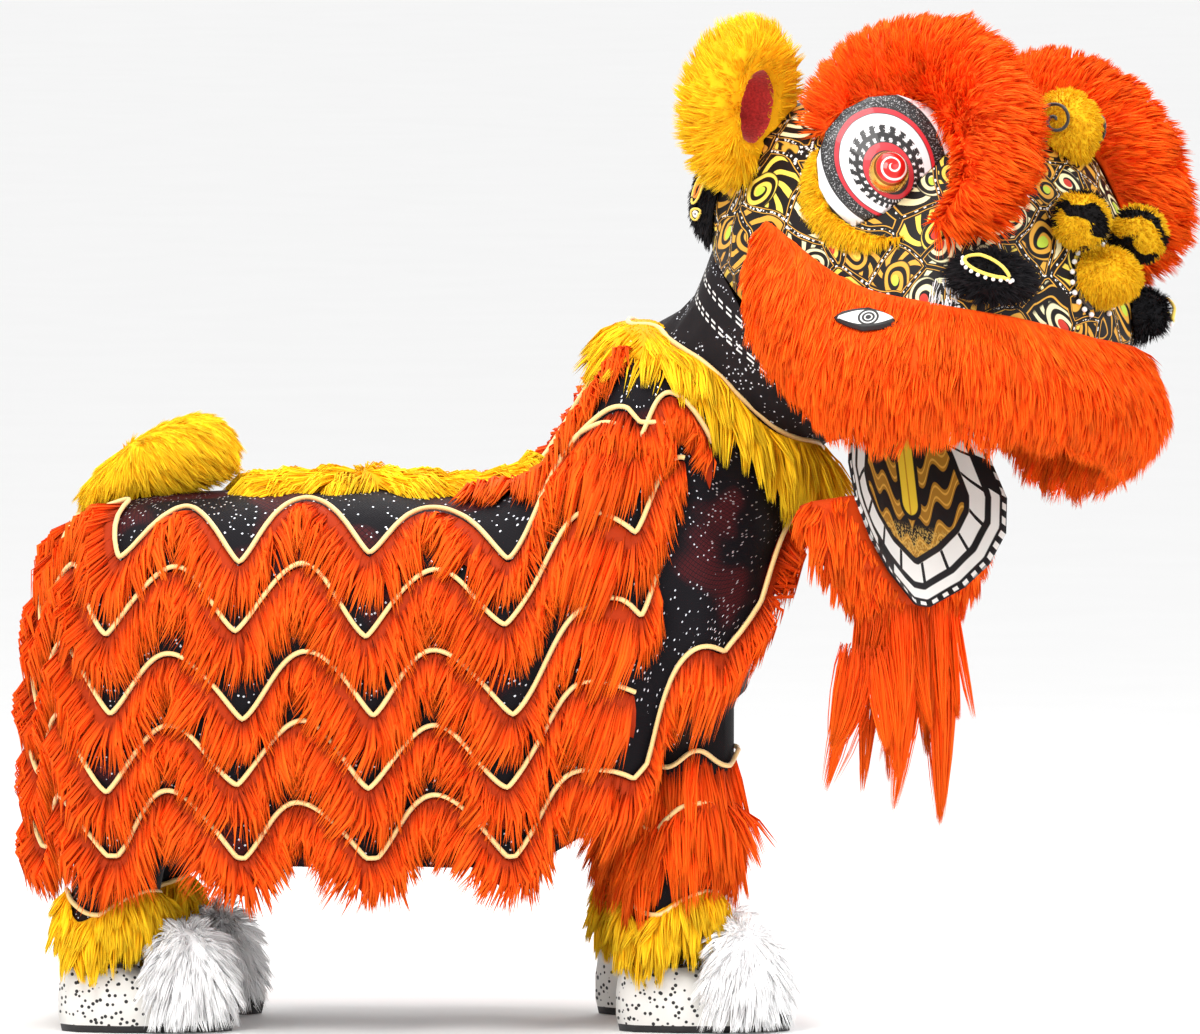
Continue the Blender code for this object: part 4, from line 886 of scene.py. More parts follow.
def box_of(node):
    """The low and the high corner of a CAD node."""
    return np.array(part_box(node))


def middle_of(node):
    return box_of(node).mean(0)


def falling(roots, out):
    """A comb that runs straight down."""
    return np.broadcast_to(np.array([0.0, 0.0, -1.0]), roots.shape)


def spreading(centre, fall=0.0):
    """A comb that runs away from a point, and down as far as fall says."""
    centre = np.array(centre)

    def comb(roots, out):
        return unit(roots - centre) + np.array([0.0, 0.0, -fall])

    return comb


def clear_of(tree, gap, run, least):
    """A trim that shortens the hair near a surface, to a least share, up to gap and run."""

    def trim(roots):
        near = np.array([tree.find_nearest(Vector(root))[3] for root in roots])
        return np.clip((near - gap) / run, least, 1.0)

    return trim


def scattered(points, triangles, normals, count, rng):
    """Even random places on a mesh, and the way out at each."""
    corners = points[triangles]
    area = np.linalg.norm(np.cross(corners[:, 1] - corners[:, 0], corners[:, 2] - corners[:, 0]), axis=1)
    pick = rng.choice(len(triangles), count, p=area / area.sum())
    a, b = rng.uniform(size=(2, count))
    a, b = np.where(a + b > 1, 1 - a, a), np.where(a + b > 1, 1 - b, b)
    shares = np.stack([1 - a - b, a, b], axis=1)[..., None]
    return (corners[pick] * shares).sum(1), unit((normals[triangles[pick]] * shares).sum(1))


COVERED = 0.03  # no strand starts where its carrier lies over it, so near
INWARD = 0.15  # share of the comb kept against the skin, so that no strand turns aside on a flat top


def pelt(node, finish, comb, long, count, width, *, stand, weight, clump, seed, pull=0.55, joints=2,
         level=1, on=None, trim=None, where=None, hide=True, light=0.0, patch=None, hang=False,
         body="costume"):
    """Fur over a CAD pad: the pad's skin, and combed strands that gather in small locks. light
    lifts the painted shade at the roots and brightens the strands, a patch is a tuft of its own
    name that doesn't stand for the node, and with hang the strands leave an underside straight down."""
    rng = np.random.default_rng(seed)
    points, triangles, normals = arrays(merged(node, level))
    roots, out = scattered(points, triangles, normals, count, rng)
    if where is not None:
        chosen = where(roots, out)
        roots, out = roots[chosen], out[chosen]
    if on is not None:
        open_side = [
            on.ray_cast(Vector(r + o * 0.001), Vector(o), COVERED)[0] is None for r, o in zip(roots, out)
        ]
        roots, out = roots[open_side], out[open_side]
    count = len(roots)
    ways = comb(roots, out)
    leaving = (ways * out).sum(1, keepdims=True)
    flat = unit(ways * (1 + INWARD) - out * (np.minimum(leaving, 0) if hang else leaving))
    start = unit(flat + out * stand + rng.normal(0, 0.10, (count, 3)))
    leaders = rng.permutation(count)[: max(count // clump, 1)]
    near = KDTree(len(leaders))
    for i, leader in enumerate(leaders):
        near.insert(roots[leader], i)
    near.balance()
    lock = np.array([near.find(r)[1] for r in roots])
    lengths = long * rng.uniform(0.70, 1.10, len(leaders))[lock] * rng.uniform(0.80, 1.05, count)
    if trim is not None:
        lengths = lengths * trim(roots)
    steps = np.linspace(0, 1, joints + 1)
    paths = roots[:, None] + start[:, None] * (lengths[:, None] * steps)[..., None]
    paths[..., 2] -= weight * lengths[:, None] * steps**2
    tips = paths[:, -1]
    paths += ((tips[leaders][lock] - tips) * pull)[:, None] * (steps**1.6)[:, None]
    paths[..., 2] = np.maximum(paths[..., 2], FLOOR + width)
    tints = np.clip(rng.normal(0.5, 0.2, len(leaders))[lock] + rng.normal(0, 0.12, count), 0, 1)
    gathered = Parts()
    hairs, faces, along, tint = strands(paths, width * rng.uniform(0.7, 1.25, count), tints, rng)
    # Painted shade darkens the roots by along; light lifts it and brightens the tint.
    gathered.add(hairs, faces, along=light + (1 - light) * along, tint=tint + light * 0.5)
    if hide:
        # The pad's skin takes the dark root colour, painted shade under the fur.
        gathered.add(points, triangles, along=max(light, 0.12), tint=0.3 + light * 0.5)
    name = patch or f"{node}_hair"
    stands_for = () if patch else (node,)
    slot = finish.name.split(".")[0]  # the slot has the finish's name, without Blender's number
    return piece(name, gathered.mesh(name), finish, *stands_for, slot=slot, body=body)


CREST_OUT = 0.003
CREST_RISE = 0.002


def crest_line(node, middle, bins):
    """The upper edge of a ring of fringe as a closed line, for its piping."""
    points = arrays(merged(node, 0))[0] - np.array([middle[0], middle[1], 0])
    turns = np.arctan2(points[:, 1], points[:, 0])
    line = []
    for i in range(bins):
        turn = 2 * math.pi * i / bins - math.pi
        apart = np.abs((turns - turn + math.pi) % (2 * math.pi) - math.pi)
        close = points[apart < 1.3 * math.pi / bins]
        if len(close):
            high = close[np.argsort(close[:, 2])[-2:]].mean(0)
            line.append(high + np.array([math.cos(turn), math.sin(turn), 0]) * CREST_OUT)
    line = np.array(line) + np.array([middle[0], middle[1], CREST_RISE])
    softer = (np.roll(line, 1, 0) + 2 * line + np.roll(line, -1, 0)) / 4
    return spline(softer, 6)


def spline(line, cuts, closed=True):
    """A round curve through points."""
    line = np.asarray(line, float)
    count = len(line)
    found = []
    for i in range(count if closed else count - 1):
        places = [i + k if closed else min(max(i + k, 0), count - 1) for k in (-1, 0, 1, 2)]
        a, b, c, d = (line[place % count] for place in places)
        for t in np.linspace(0, 1, cuts, endpoint=False):
            square, cube = 2 * a - 5 * b + 4 * c - d, 3 * b - a - 3 * c + d
            found.append(0.5 * (2 * b + (c - a) * t + square * t**2 + cube * t**3))
    return np.array(found)


def beads(name, centres, radius):
    """A row of small round white beads."""
    shape = bmesh.new()
    for centre in centres:
        place = Matrix.Translation(Vector(centre))
        bmesh.ops.create_icosphere(shape, subdivisions=2, radius=radius, matrix=place)
    piece(name, rounded(shape, name), WHITE_BEADS)


LAID_FROM = 0.25


def laid(tree, middle, gaze, line, lift):
    """A drawn line of side and up places, laid on a surface as it is seen against gaze."""
    gaze = unit(np.asarray(gaze, float))
    side = unit(np.cross((0.0, 0.0, 1.0), gaze))
    up = np.cross(gaze, side)
    found = []
    for across, rise in line:
        start = middle + side * across + up * rise + gaze * LAID_FROM
        hit = tree.ray_cast(Vector(start), Vector(-gaze), 2 * LAID_FROM)[0]
        if hit is not None:
            found.append(np.array(hit) + gaze * lift)
    return np.array(found)


def leaf(long, wide, tilt=0.0, cuts=28, part=1.0):
    """A pointed loop, tilted, as side and up places; part of it when part is below 1."""
    turns = np.linspace(0, 2 * math.pi * part, cuts, endpoint=part < 1)
    across, rise = long * np.cos(turns), wide * np.sin(turns) * np.abs(np.sin(turns / 2 + 0.3)) ** 0.3
    level, steep = math.cos(tilt), math.sin(tilt)
    return np.stack([across * level - rise * steep, across * steep + rise * level], axis=1)


def plane_of(node, ahead):
    """The middle of a flat piece, its normal on the side of ahead, and its up and side ways."""
    points = arrays(merged(node, 0))[0].astype(float)
    middle = points.mean(0)
    _, _, ways = np.linalg.svd(points - middle)
    normal = ways[2] if ways[2] @ ahead > 0 else -ways[2]
    up = unit(np.array([0, 0, 1.0]) - normal * normal[2])
    return middle, normal, up, np.cross(up, normal)


def on_plane(mesh, middle, up, side, size, ball):
    """Marks a mesh with its place across a disc, and the eyeball's, in shares of its radius."""
    points = arrays(mesh)[0] - middle
    attribute(mesh, "across", points @ side / size)
    attribute(mesh, "upward", points @ up / size)
    attribute(mesh, "ball_across", np.full(len(points), (ball - middle) @ side / size))
    attribute(mesh, "ball_upward", np.full(len(points), (ball - middle) @ up / size))


def plush_finish(name, dark, light):
    """Cloth with a short pile."""
    make = Finish(name)
    nap = make.noise(240.0, 3.0)
    cloudy = make.noise(22.0, 3.0)
    colour = make.mix(make.step(nap * 0.6 + cloudy * 0.6, 0.35, 0.85), dark, light)
    make.bump(nap, 0.6, 0.002)
    return make.set(colour, Roughness=0.85, Sheen_Weight=0.5)


def steel_finish():
    """Brushed steel."""
    make = Finish("hinge_steel")
    x, y, z = make.parts(make.coordinates())
    scratch = make.noise(3.0, 3.0, make.vector(x * 40, y * 40, z * 400))
    make.bump(scratch, 0.15, 0.0003)
    colour = make.mix(scratch, (0.40, 0.40, 0.41), (0.66, 0.66, 0.68))
    return make.set(colour, Metallic=1.0, Roughness=0.28 + scratch * 0.2)


def eye_finish():
    """Nested rings of white, red and black with lash marks, which gather round the ball.

    The ring of radius r has its centre a share 1 - r of the way to the ball, so r is the root of
    a quadratic in the place as seen from the ball."""
    make = Finish("printed_eye")
    ball_x, ball_y = make.attribute("ball_across"), make.attribute("ball_upward")
    x, y = make.attribute("across") - ball_x, make.attribute("upward") - ball_y
    towards = x * ball_x + y * ball_y
    room = 1 - ball_x * ball_x - ball_y * ball_y
    far = (towards + (towards * towards + room * (x * x + y * y)).root()) / room
    turn = y.maths("ARCTAN2", x)
    grain = make.noise(60.0, 2.0)
    fine = make.noise(420.0, 2.0)
    white, black, red = (0.88, 0.88, 0.90), (0.006, 0.005, 0.006), (0.66, 0.016, 0.030)
    lash = (turn * 31.0 + far * 14.0 + fine * 5.0).sine()
    speckle = far.band(0.60, 0.72, 0.02) * make.step(fine, 0.55, 0.66) * 0.45
    rings = [
        # inner and outer radius, colour
        (0.74, 0.885, white),
        (0.545, 0.590, red),
        (0.440, 0.535, white),
        (0.225, 0.290, red),
    ]
    coats = [(far.band(low, high, 0.006), shade) for low, high, shade in rings]
    lashes = far.band(0.375, 0.442, 0.006) * (lash > 0.25) + far.band(0.300, 0.335, 0.006) * (lash < -0.45)
    colour = make.paint(make.mix(speckle, black, white), *coats, (lashes.least(1.0), white))
    make.bump(grain, 0.15, 0.0006)
    return make.set(colour, Roughness=0.42 + grain * 0.2, Coat_Weight=0.25)


def lip_eye_finish():
    """A small printed eye: almond shaped, with a ringed iris and a black outline."""
    make = Finish("printed_lip_eye")
    x, y = make.attribute("across"), make.attribute("upward")
    lid = 0.30 * (1 - x * x * 1.25)
    white, black = (0.90, 0.90, 0.88), (0.006, 0.005, 0.006)
    far = ((x - 0.08) * (x - 0.08) + y * y).root()
    colour = make.paint(
        black,
        (1 - make.step(abs(y) - lid, -0.03, -0.01), white),
        (1 - make.step(far, 0.31, 0.33), black),
        (far.band(0.20, 0.245, 0.01), white),
        (far.band(0.09, 0.125, 0.01), white),
    )
    return make.set(colour, Roughness=0.5)


def ball_finish():
    """A gold ball with a red glass lens and painted highlights."""
    make = Finish("gold_eyeball")
    ahead, up, side = make.attribute("ahead"), make.attribute("upward"), make.attribute("across")
    lens = make.step(ahead, 0.60, 0.63)
    rim = ahead.band(0.48, 0.61, 0.01)
    far = (up * up + side * side).root()
    turn = up.maths("ARCTAN2", side)
    glint = (turn / (2 * math.pi) + far * 2.6).fraction().band(0.30, 0.52, 0.05) * lens * (far > 0.12)
    gold, red, dark, white = (0.83, 0.50, 0.10), (0.60, 0.012, 0.010), (0.30, 0.10, 0.02), (0.95, 0.92, 0.88)
    colour = make.paint(gold, (lens, red), (rim, dark), (glint, white))
    return make.set(colour, Metallic=0.85 - lens * 0.85, Roughness=0.26 - lens * 0.14)


def head_place(make):
    """Object coordinates turned into the head's own."""
    move, turn = tuple(HEAD.translation), tuple(HEAD.to_euler())
    return make.node("ShaderNodeMapping", {"vector_type": "TEXTURE"}, make.coordinates(), move, turn)


SCROLLS = 12.5  # for each metre


def head_finish():
    """Printed cloth: curled gold scrolls on black, with yellow, lime and cream hearts, flame
    strokes between them and rows of white beads."""
    make = Finish("printed_head_cloth")
    place = head_place(make)
    bend = make.node("ShaderNodeTexNoise", {}, output=1, Vector=place, Scale=6.0)
    sway = make.scale(bend, 0.07)
    bent = make.node("ShaderNodeVectorMath", {"operation": "ADD"}, place, sway)
    edge = make.cells(bent, SCROLLS, "DISTANCE_TO_EDGE")
    heart = make.cells(bent, SCROLLS, "F1", 2)
    pick, other, _ = make.parts(make.cells(bent, SCROLLS, "F1", 1))
    x, y, z = make.parts(make.node("ShaderNodeVectorMath", {"operation": "SUBTRACT"}, bent, heart))
    aside, up = x + y * 0.7, z + y * 0.5
    far = (aside * aside + up * up).root()
    turn = up.maths("ARCTAN2", aside)
    curl = (turn / (2 * math.pi) + far * 62.0 + pick * 3.0).fraction()
    scroll = curl.band(0.12, 0.62, 0.05) * (1 - make.step(far, 0.030, 0.033))
    inner = 1 - make.step(far, 0.0085, 0.0095)
    black, gold, yellow = (0.008, 0.006, 0.006), (0.78, 0.40, 0.05), (0.93, 0.70, 0.10)
    lime, cream, red = (0.52, 0.70, 0.07), (0.93, 0.88, 0.52), (0.62, 0.05, 0.03)
    ribbon = make.paint(gold, (pick > 0.30, yellow), (pick > 0.64, cream))
    fill = make.paint(yellow, (other > 0.55, lime), (other < 0.22, red))
    strokes = ((turn * 9.0 + far * 150.0).sine() > 0.35) * make.step(far, 0.033, 0.036)
    strokes = strokes * make.step(edge, 0.07, 0.09)
    dots = (make.cells(place, 150.0) < 0.42) * (edge < 0.026)
    colour = make.paint(
        black,
        (strokes, ribbon),
        (scroll, ribbon),
        (inner, fill),
        (1 - make.step(edge, 0.055, 0.065), black),
        (edge.band(0.036, 0.050, 0.003), gold),
        (dots * (other > 0.35), (0.90, 0.90, 0.86)),
    )
    weave = make.noise(700.0, 1.0)
    make.bump(weave * 0.4 + scroll * 0.6 + dots, 0.35, 0.0010)
    return make.set(colour, Roughness=0.55, Specular_IOR_Level=0.22)


def jaw_finish():
    """The printed jaw: tongue, gold flames, a row of teeth and a dashed edge."""
    make = Finish("printed_jaw")
    edge, ahead, side = make.attribute("edge"), make.attribute("ahead"), make.attribute("across")
    white, black = (0.88, 0.86, 0.82), (0.008, 0.007, 0.008)
    bronze, gold, amber = (0.42, 0.19, 0.02), (0.74, 0.40, 0.06), (0.70, 0.44, 0.10)
    yellow, brown = (0.92, 0.62, 0.04), (0.62, 0.30, 0.02)
    turn = side.maths("ARCTAN2", ahead - 0.10)
    swirl = (ahead * 95.0 + abs(side) * 60.0 + (abs(side) * 110.0).sine() * 1.3).sine()
    spark = make.noise(260.0, 1.0)
    sparks = make.step(ahead, 0.285, 0.30) * make.step(spark, 0.45, 0.60) * 0.8
    long = (abs(ahead - 0.165) - 0.085).most(0.0)
    round_end = (side * side + long * long).root()
    tongue = 1 - make.step(round_end, 0.0205, 0.0225)
    teeth = edge.band(0.037, 0.072, 0.001)
    colour = make.paint(
        black,
        (make.step(swirl, -0.15, 0.05), bronze),
        (swirl.band(0.45, 0.75, 0.05), gold),
        (sparks, amber),
        (1 - make.step(round_end, 0.0300, 0.0320), black),
        (tongue, yellow),
        ((abs(side) < 0.0022) * tongue, brown),
        (edge.band(0.072, 0.084, 0.001), black),
        (teeth, white),
        (teeth * ((turn * 26.0).sine() > 0.93), black),
        (edge.band(0.032, 0.041, 0.001), black),
        (edge < 0.033, black),
        (edge.band(0.013, 0.029, 0.001) * ((turn * 4.0).sine() > -0.90), white),
        (edge.band(0.002, 0.008, 0.0008) * ((turn * 70.0).sine() > 0.0), white),
    )
    weave = make.noise(500.0, 1.0)
    make.bump(weave, 0.3, 0.0006)
    return make.set(colour, Roughness=0.52, Specular_IOR_Level=0.22)


def trouser_finish():
    """Black cloth with a faint warm sheen painted into its colour in cloudy patches, and a few sequins."""
    make = Finish("black_trouser_cloth")
    x, _, z = make.parts(make.coordinates())
    weave = (x * 1500.0).sine() * (z * 1500.0).sine()
    cloudy = make.noise(6.0, 3.0)
    spots = make.cells(make.coordinates(), 120.0)
    sequin = (spots < 0.16) * (cloudy > 0.52)
    # Painted sheen: cloudy warm brown patches on the black.
    colour = make.mix(make.step(cloudy, 0.45, 0.70), (0.006, 0.005, 0.006), (0.045, 0.020, 0.010))
    colour = make.mix(sequin, colour, (0.75, 0.76, 0.80))
    make.bump(weave * 0.4 + cloudy * 4.0, 0.4, 0.0010)
    return make.set(colour, Roughness=0.70 - sequin * 0.4, Specular_IOR_Level=0.12)


STITCH = 0.019  # share of the collar's height


def collar_finish():
    """Black cloth with two double rows of white stitches, and sequins between them."""
    make = Finish("stitched_collar_cloth")
    up, around = make.attribute("up"), make.attribute("around")
    dash = (around * 480.0).sine() > -0.25
    rows = [up.band(low, low + STITCH, 0.004) for low in (0.605, 0.650, 0.845, 0.890)]
    stitches = ((rows[0] + rows[1] + rows[2] + rows[3]) * dash).least(1.0)
    cloudy = make.noise(14.0, 2.0)
    sequin = (make.cells(make.coordinates(), 130.0) < 0.22) * (cloudy > 0.50)
    cloth = make.mix(cloudy, (0.005, 0.005, 0.006), (0.022, 0.016, 0.018))
    colour = make.paint(cloth, (sequin, (0.70, 0.72, 0.78)), (stitches, (0.86, 0.86, 0.84)))
    weave = make.noise(600.0, 1.0)
    make.bump(weave * 0.5 + stitches, 0.5, 0.0010)
    return make.set(colour, Roughness=0.66 - sequin * 0.4, Specular_IOR_Level=0.12)


def shoe_finish():
    """White cloth with black dots, a black toe cap and a black rubber sole."""
    make = Finish("dotted_shoe_cloth")
    toe, rise = make.attribute("toe"), make.attribute("rise")
    spots = make.cells(make.coordinates(), 92.0)
    dots = 1 - make.step(spots, 0.26, 0.32)
    grain = make.noise(500.0, 2.0)
    dirt = make.noise(18.0, 4.0)
    colour = make.paint(
        make.mix(dirt, (0.86, 0.85, 0.82), (0.70, 0.68, 0.64)),
        (dots, (0.012, 0.011, 0.012)),
        (make.step(toe, 0.775, 0.785), (0.014, 0.013, 0.014)),
        (rise < 0.012, (0.020, 0.019, 0.020)),
    )
    make.bump(grain, 0.3, 0.0006)
    return make.set(colour, Roughness=0.70, Sheen_Weight=0.1)


RED_PLUSH = plush_finish("red_plush", (0.30, 0.010, 0.012), (0.78, 0.050, 0.045))
GREY_STEEL = steel_finish()


def head_way(x, y, z):
    """A way of the head's own, as a way of the frame."""
    return np.array(HEAD.to_3x3() @ Vector((x, y, z)))


def make_furs():
    """Every furred pad of the head, the jaw and the back."""
    shell, jaw = tree_of("head_shell"), tree_of("jaw_tray")
    small_eyes = [middle_of(f"lip_eye_{side}") for side, _ in SIDES]

    def lip_comb(roots, out):
        return falling(roots, out) + 0.30 * head_way(-0.2, 0, -1)

    def round_eyes(roots):
        apart = [np.linalg.norm(roots - eye + (0, 0, -0.012), axis=1) for eye in small_eyes]
        return np.clip((np.min(apart, axis=0) - 0.012) / 0.045, 0.12, 1.0)

    # node, finish, comb, length of the hair, number of strands, their width
    pelt("lip_fur", ORANGE_FUR, lip_comb, 0.046, 21000, 0.0027, stand=0.34, weight=0.25, pull=0.45,
         clump=14, level=2, seed=21, on=shell, trim=round_eyes, light=0.34)
    for side, way, seed in (("right", -1, 31), ("left", 1, 32)):
        middle, gaze, _, _ = plane_of(f"eye_disc_{side}", head_way(0.4, way, 0.2))
        pelt(f"brow_{side}", ORANGE_FUR, spreading(middle - gaze * 0.05, 0.10), 0.050, 10500, 0.0027,
             stand=0.75, weight=0.25, pull=0.4, clump=12, level=2, seed=seed, on=shell, light=0.34)
        pelt(f"eye_rim_{side}", YELLOW_FUR, spreading(middle, 0.35), 0.018, 4200, 0.0020, stand=0.8,
             weight=0.15, pull=0.3, clump=6, joints=1, seed=seed + 4, on=shell, light=0.4)
        ear = spreading(middle_of(f"ear_{side}") + head_way(0.06, 0, -0.02), -0.15)
        lining = clear_of(tree_of(f"ear_lining_{side}"), 0.006, 0.035, 0.10)
        pelt(f"ear_{side}", YELLOW_FUR, ear, 0.034, 6000, 0.0027, stand=0.6, weight=0.15, pull=0.45,
             clump=10, joints=1, level=2, seed=seed + 6, on=shell, trim=lining, light=0.3)
        pelt(f"nostril_{side}", BLACK_FUR, spreading(middle_of(f"nostril_{side}")), 0.020, 2600, 0.0018,
             stand=0.9, weight=0.2, clump=6, joints=1, seed=seed + 8, on=shell)
        pelt(f"cheek_fin_{side}", BLACK_FUR, falling, 0.016, 2200, 0.0018, stand=0.8, weight=0.2,
             clump=7, joints=1, seed=seed + 10, on=shell)
        made = pelt(f"pompom_{side}", STRIPED_PLUSH, falling, 0.012, 3600, 0.0020, stand=4.0,
                    weight=0.05, clump=5, joints=1, level=2, seed=seed + 12)
        attribute(made.data, "striped", np.ones(len(made.data.vertices)))
    for node, seed in (("forehead_knob", 51), ("nose", 52)):
        made = pelt(node, STRIPED_PLUSH, falling, 0.014, 4200, 0.0020, stand=2.5, weight=0.1, clump=6,
                    joints=1, level=2, seed=seed, on=shell, light=0.3)
    pelt("jaw_fur", ORANGE_FUR, falling, 0.046, 5000, 0.0036, stand=0.4, weight=0.4, clump=14, seed=61,
         on=jaw, trim=clear_of(jaw, 0.004, 0.030, 0.25), light=0.2, body="jaw")
    make_beard()
    pelt("neck_fringe", YELLOW_FUR, falling, 0.078, 7500, 0.0040, stand=0.42, weight=0.35, pull=0.7,
         clump=18, seed=63, light=0.2, on=tree_of("body_cloth", "neck_collar"))
    pelt("spine_fur", YELLOW_FUR, spreading((-0.6, 0, -0.3), 0.9), 0.070, 5600, 0.0032, stand=0.5,
         weight=0.7, clump=26, level=2, seed=64, on=tree_of("body_cloth"), light=0.2)
    made = pelt("tail", YELLOW_FUR, spreading((-1.0, 0, -0.1), 0.7), 0.034, 6000, 0.0024, stand=0.25,
                weight=0.2, clump=10, joints=1, level=2, seed=65, light=0.55)


def make_beard():
    """Long strands from the top of the beard's pad, and from the jaw's fur over it."""
    low, high = box_of("beard")

    def near_top(roots, out):
        return (roots[:, 2] > high[2] - 0.30 * (high[2] - low[2])) & (out[:, 2] < 0.5)

    def over_beard(roots, out):
        inside = (roots[:, :2] > low[:2]) & (roots[:, :2] < high[:2])
        return inside.all(1) & (roots[:, 2] < high[2] + 0.05) & (out[:, 2] < -0.2)

    def wavy(roots):
        across = (roots - (low + high) / 2) @ head_way(0, 1, 0)
        return 0.80 + 0.20 * np.sin(across * 95.0)

    hair = {"stand": 0.02, "weight": 0.10, "pull": 0.90, "clump": 75, "joints": 4, "hide": False,
            "light": 0.2, "hang": True, "body": "jaw"}
    pelt("beard", ORANGE_FUR, falling, BEARD_LENGTH * 0.90, 3000, 0.0026, seed=62, where=near_top,
         trim=wavy, **hair)
    pelt("jaw_fur", ORANGE_FUR, falling, BEARD_LENGTH * 0.80, 16000, 0.0026, seed=66,
         where=over_beard, patch="beard_roots", **hair)


def make_leg_furs():
    """Cuffs, fringes and plumes of the legs, and the piping of the rings of fringe."""
    seed = 70
    for where in LEGS:
        seed += 3
        low, high = box_of(f"shoe_{where}")
        boot = np.array([low[0] + 0.10, (low[1] + high[1]) / 2, 0])
        on = tree_of(f"shoe_{where}", "trousers_" + where.split("_")[0])
        kinds = [("cuff", YELLOW_FUR, CUFF_HAIR * 0.62)]
        if "front" in where:
            kinds.append(("leg_fringe", ORANGE_FUR, LEG_HAIR * 0.95))
            upper_leg_fringe(where, seed + 7)
        for kind, finish, hair in kinds:
            node = f"{kind}_{where}"
            pelt(node, finish, falling, hair, 3600, 0.0034, stand=0.32, weight=0.3, pull=0.7, clump=16,
                 seed=seed, on=on, light=0.15)
            rope(f"{node}_piping", crest_line(node, boot, 18))
            seed += 20
        plume = spreading(middle_of(f"plume_{where}") + (0, 0, 0.01), 0.35)
        pelt(f"plume_{where}", WHITE_FUR, plume, 0.052, 4200, 0.0026, stand=0.7, weight=0.35, clump=12,
             seed=seed, on=on, light=0.8)
    rope("neck_fringe_piping", crest_line("neck_fringe", (0, 0), 30))


UPPER_FRINGE = 0.068  # its height above the padded one
UPPER_PIPING = 0.072
UPPER_WAVE = 0.014


def upper_leg_fringe(where, seed):
    """A second row of orange fringe on a front leg, above the padded one."""
    low, high = box_of(f"leg_fringe_{where}")
    axis = (low + high) / 2

    def above(roots, out):
        outward = roots - axis
        outward[:, 2] = 0
        near = np.linalg.norm(outward, axis=1) < 0.15
        top = high[2] + UPPER_FRINGE + UPPER_WAVE * np.sin(4 * np.arctan2(outward[:, 1], outward[:, 0]))
        level = (roots[:, 2] > high[2] - 0.012) & (roots[:, 2] < top)
        return near & level & ((outward * out).sum(1) > 0)

    pelt("trousers_front", ORANGE_FUR, falling, LEG_HAIR * 1.1, 60000, 0.0034, stand=0.30, weight=0.3,
         pull=0.7, clump=18, seed=seed, where=above, hide=False, light=0.1,
         patch=f"upper_leg_fringe_{where}")
    leg = tree_of("trousers_front")
    line = []
    for turn in np.linspace(0, 2 * math.pi, 72, endpoint=False):
        way = Vector((math.cos(turn), math.sin(turn), 0))
        height = high[2] + UPPER_PIPING + UPPER_WAVE * math.sin(4 * turn)
        hit = leg.ray_cast(Vector((*axis[:2], height)) + way * 0.16, -way, 0.16)[0]
        if hit is not None:
            line.append(np.array(hit + way * 0.006))
    rope(f"upper_leg_piping_{where}", line)


FIN_LEAVES = [
    # place on the fin, half length, half width, tilt, finish
    ((0.014, 0.004), 0.028, 0.011, 1.2, YELLOW_CORD),
    ((0.015, 0.004), 0.017, 0.005, 1.2, ORANGE_CORD),
    ((0.012, -0.040), 0.013, 0.009, 0.3, YELLOW_CORD),
    ((0.012, -0.040), 0.005, 0.004, 0.3, WHITE_BEADS),
]


def make_prints():
    """Cords, beads and tufts on the furred pieces: bands, leaves, spirals and arcs."""
    shell = tree_of("head_shell")
    for side, way in SIDES:
        flip = np.array([-way, 1.0])
        node = f"nostril_{side}"
        tree, middle, gaze = tree_of(node), middle_of(node), head_way(0.45, way, 0.25)
        band = laid(tree, middle, gaze, leaf(0.040, 0.016, -0.38) * flip, 0.015)
        rope(f"nostril_band_{side}", band, 0.0032, YELLOW_CORD)
        row = laid(tree, middle, gaze, leaf(0.045, 0.023, -0.38, 12, -0.5) * flip, 0.015)
        beads(f"nostril_beads_{side}", row, 0.0036)
        tuft = laid(shell, middle, gaze, np.array([(-0.080, -0.020)]) * flip, 0.0)[0]
        node = f"cheek_fin_{side}"
        for number, (place, long, wide, tilt, finish) in enumerate(FIN_LEAVES):
            drawn = (leaf(long, wide, tilt) + place) * flip
            line = laid(tree_of(node), middle_of(node), head_way(0.0, way, 0.05), drawn, 0.012)
            rope(f"cheek_fin_{number}_{side}", line, 0.0022, finish)

        def near_tuft(roots, out, tuft=tuft, gaze=unit(gaze)):
            return (np.linalg.norm(roots - tuft, axis=1) < 0.026) & (out @ gaze > 0.4)

        pelt("head_shell", WHITE_FUR, falling, 0.026, 60000, 0.0020, stand=0.9, weight=0.2, clump=6,
             level=0, seed=80 + way, hide=False, light=0.3, patch=f"lip_tuft_{side}", where=near_tuft)
        node = "forehead_knob"
        turns = np.linspace(0.5, 3.4 * math.pi, 44)
        spiral = np.stack([np.cos(turns), np.sin(turns)], axis=1) * (0.0036 * turns)[:, None]
        line = laid(tree_of(node), middle_of(node), head_way(0.45, way, 0.0), spiral * flip, 0.011)
        rope(f"forehead_spiral_{side}", line, 0.0030, BLACK_CORD, closed=False)
    low, high = box_of("nose")
    radius = (high - low)[2] / 2
    turns = np.linspace(0.15 * math.pi, 0.85 * math.pi, 9)
    for side, way in SIDES:
        ring = np.stack([np.sin(turns) * way, np.cos(turns)], axis=1) * radius
        arc, row = (
            laid(shell, middle_of("nose"), head_way(1, 0, 0.25), ring * far, 0.004) for far in (1.10, 1.32)
        )
        rope(f"nose_arc_{side}", spline(arc, 5, False), 0.0046, BLACK_CORD, closed=False)
        beads(f"nose_beads_{side}", row, 0.0048)


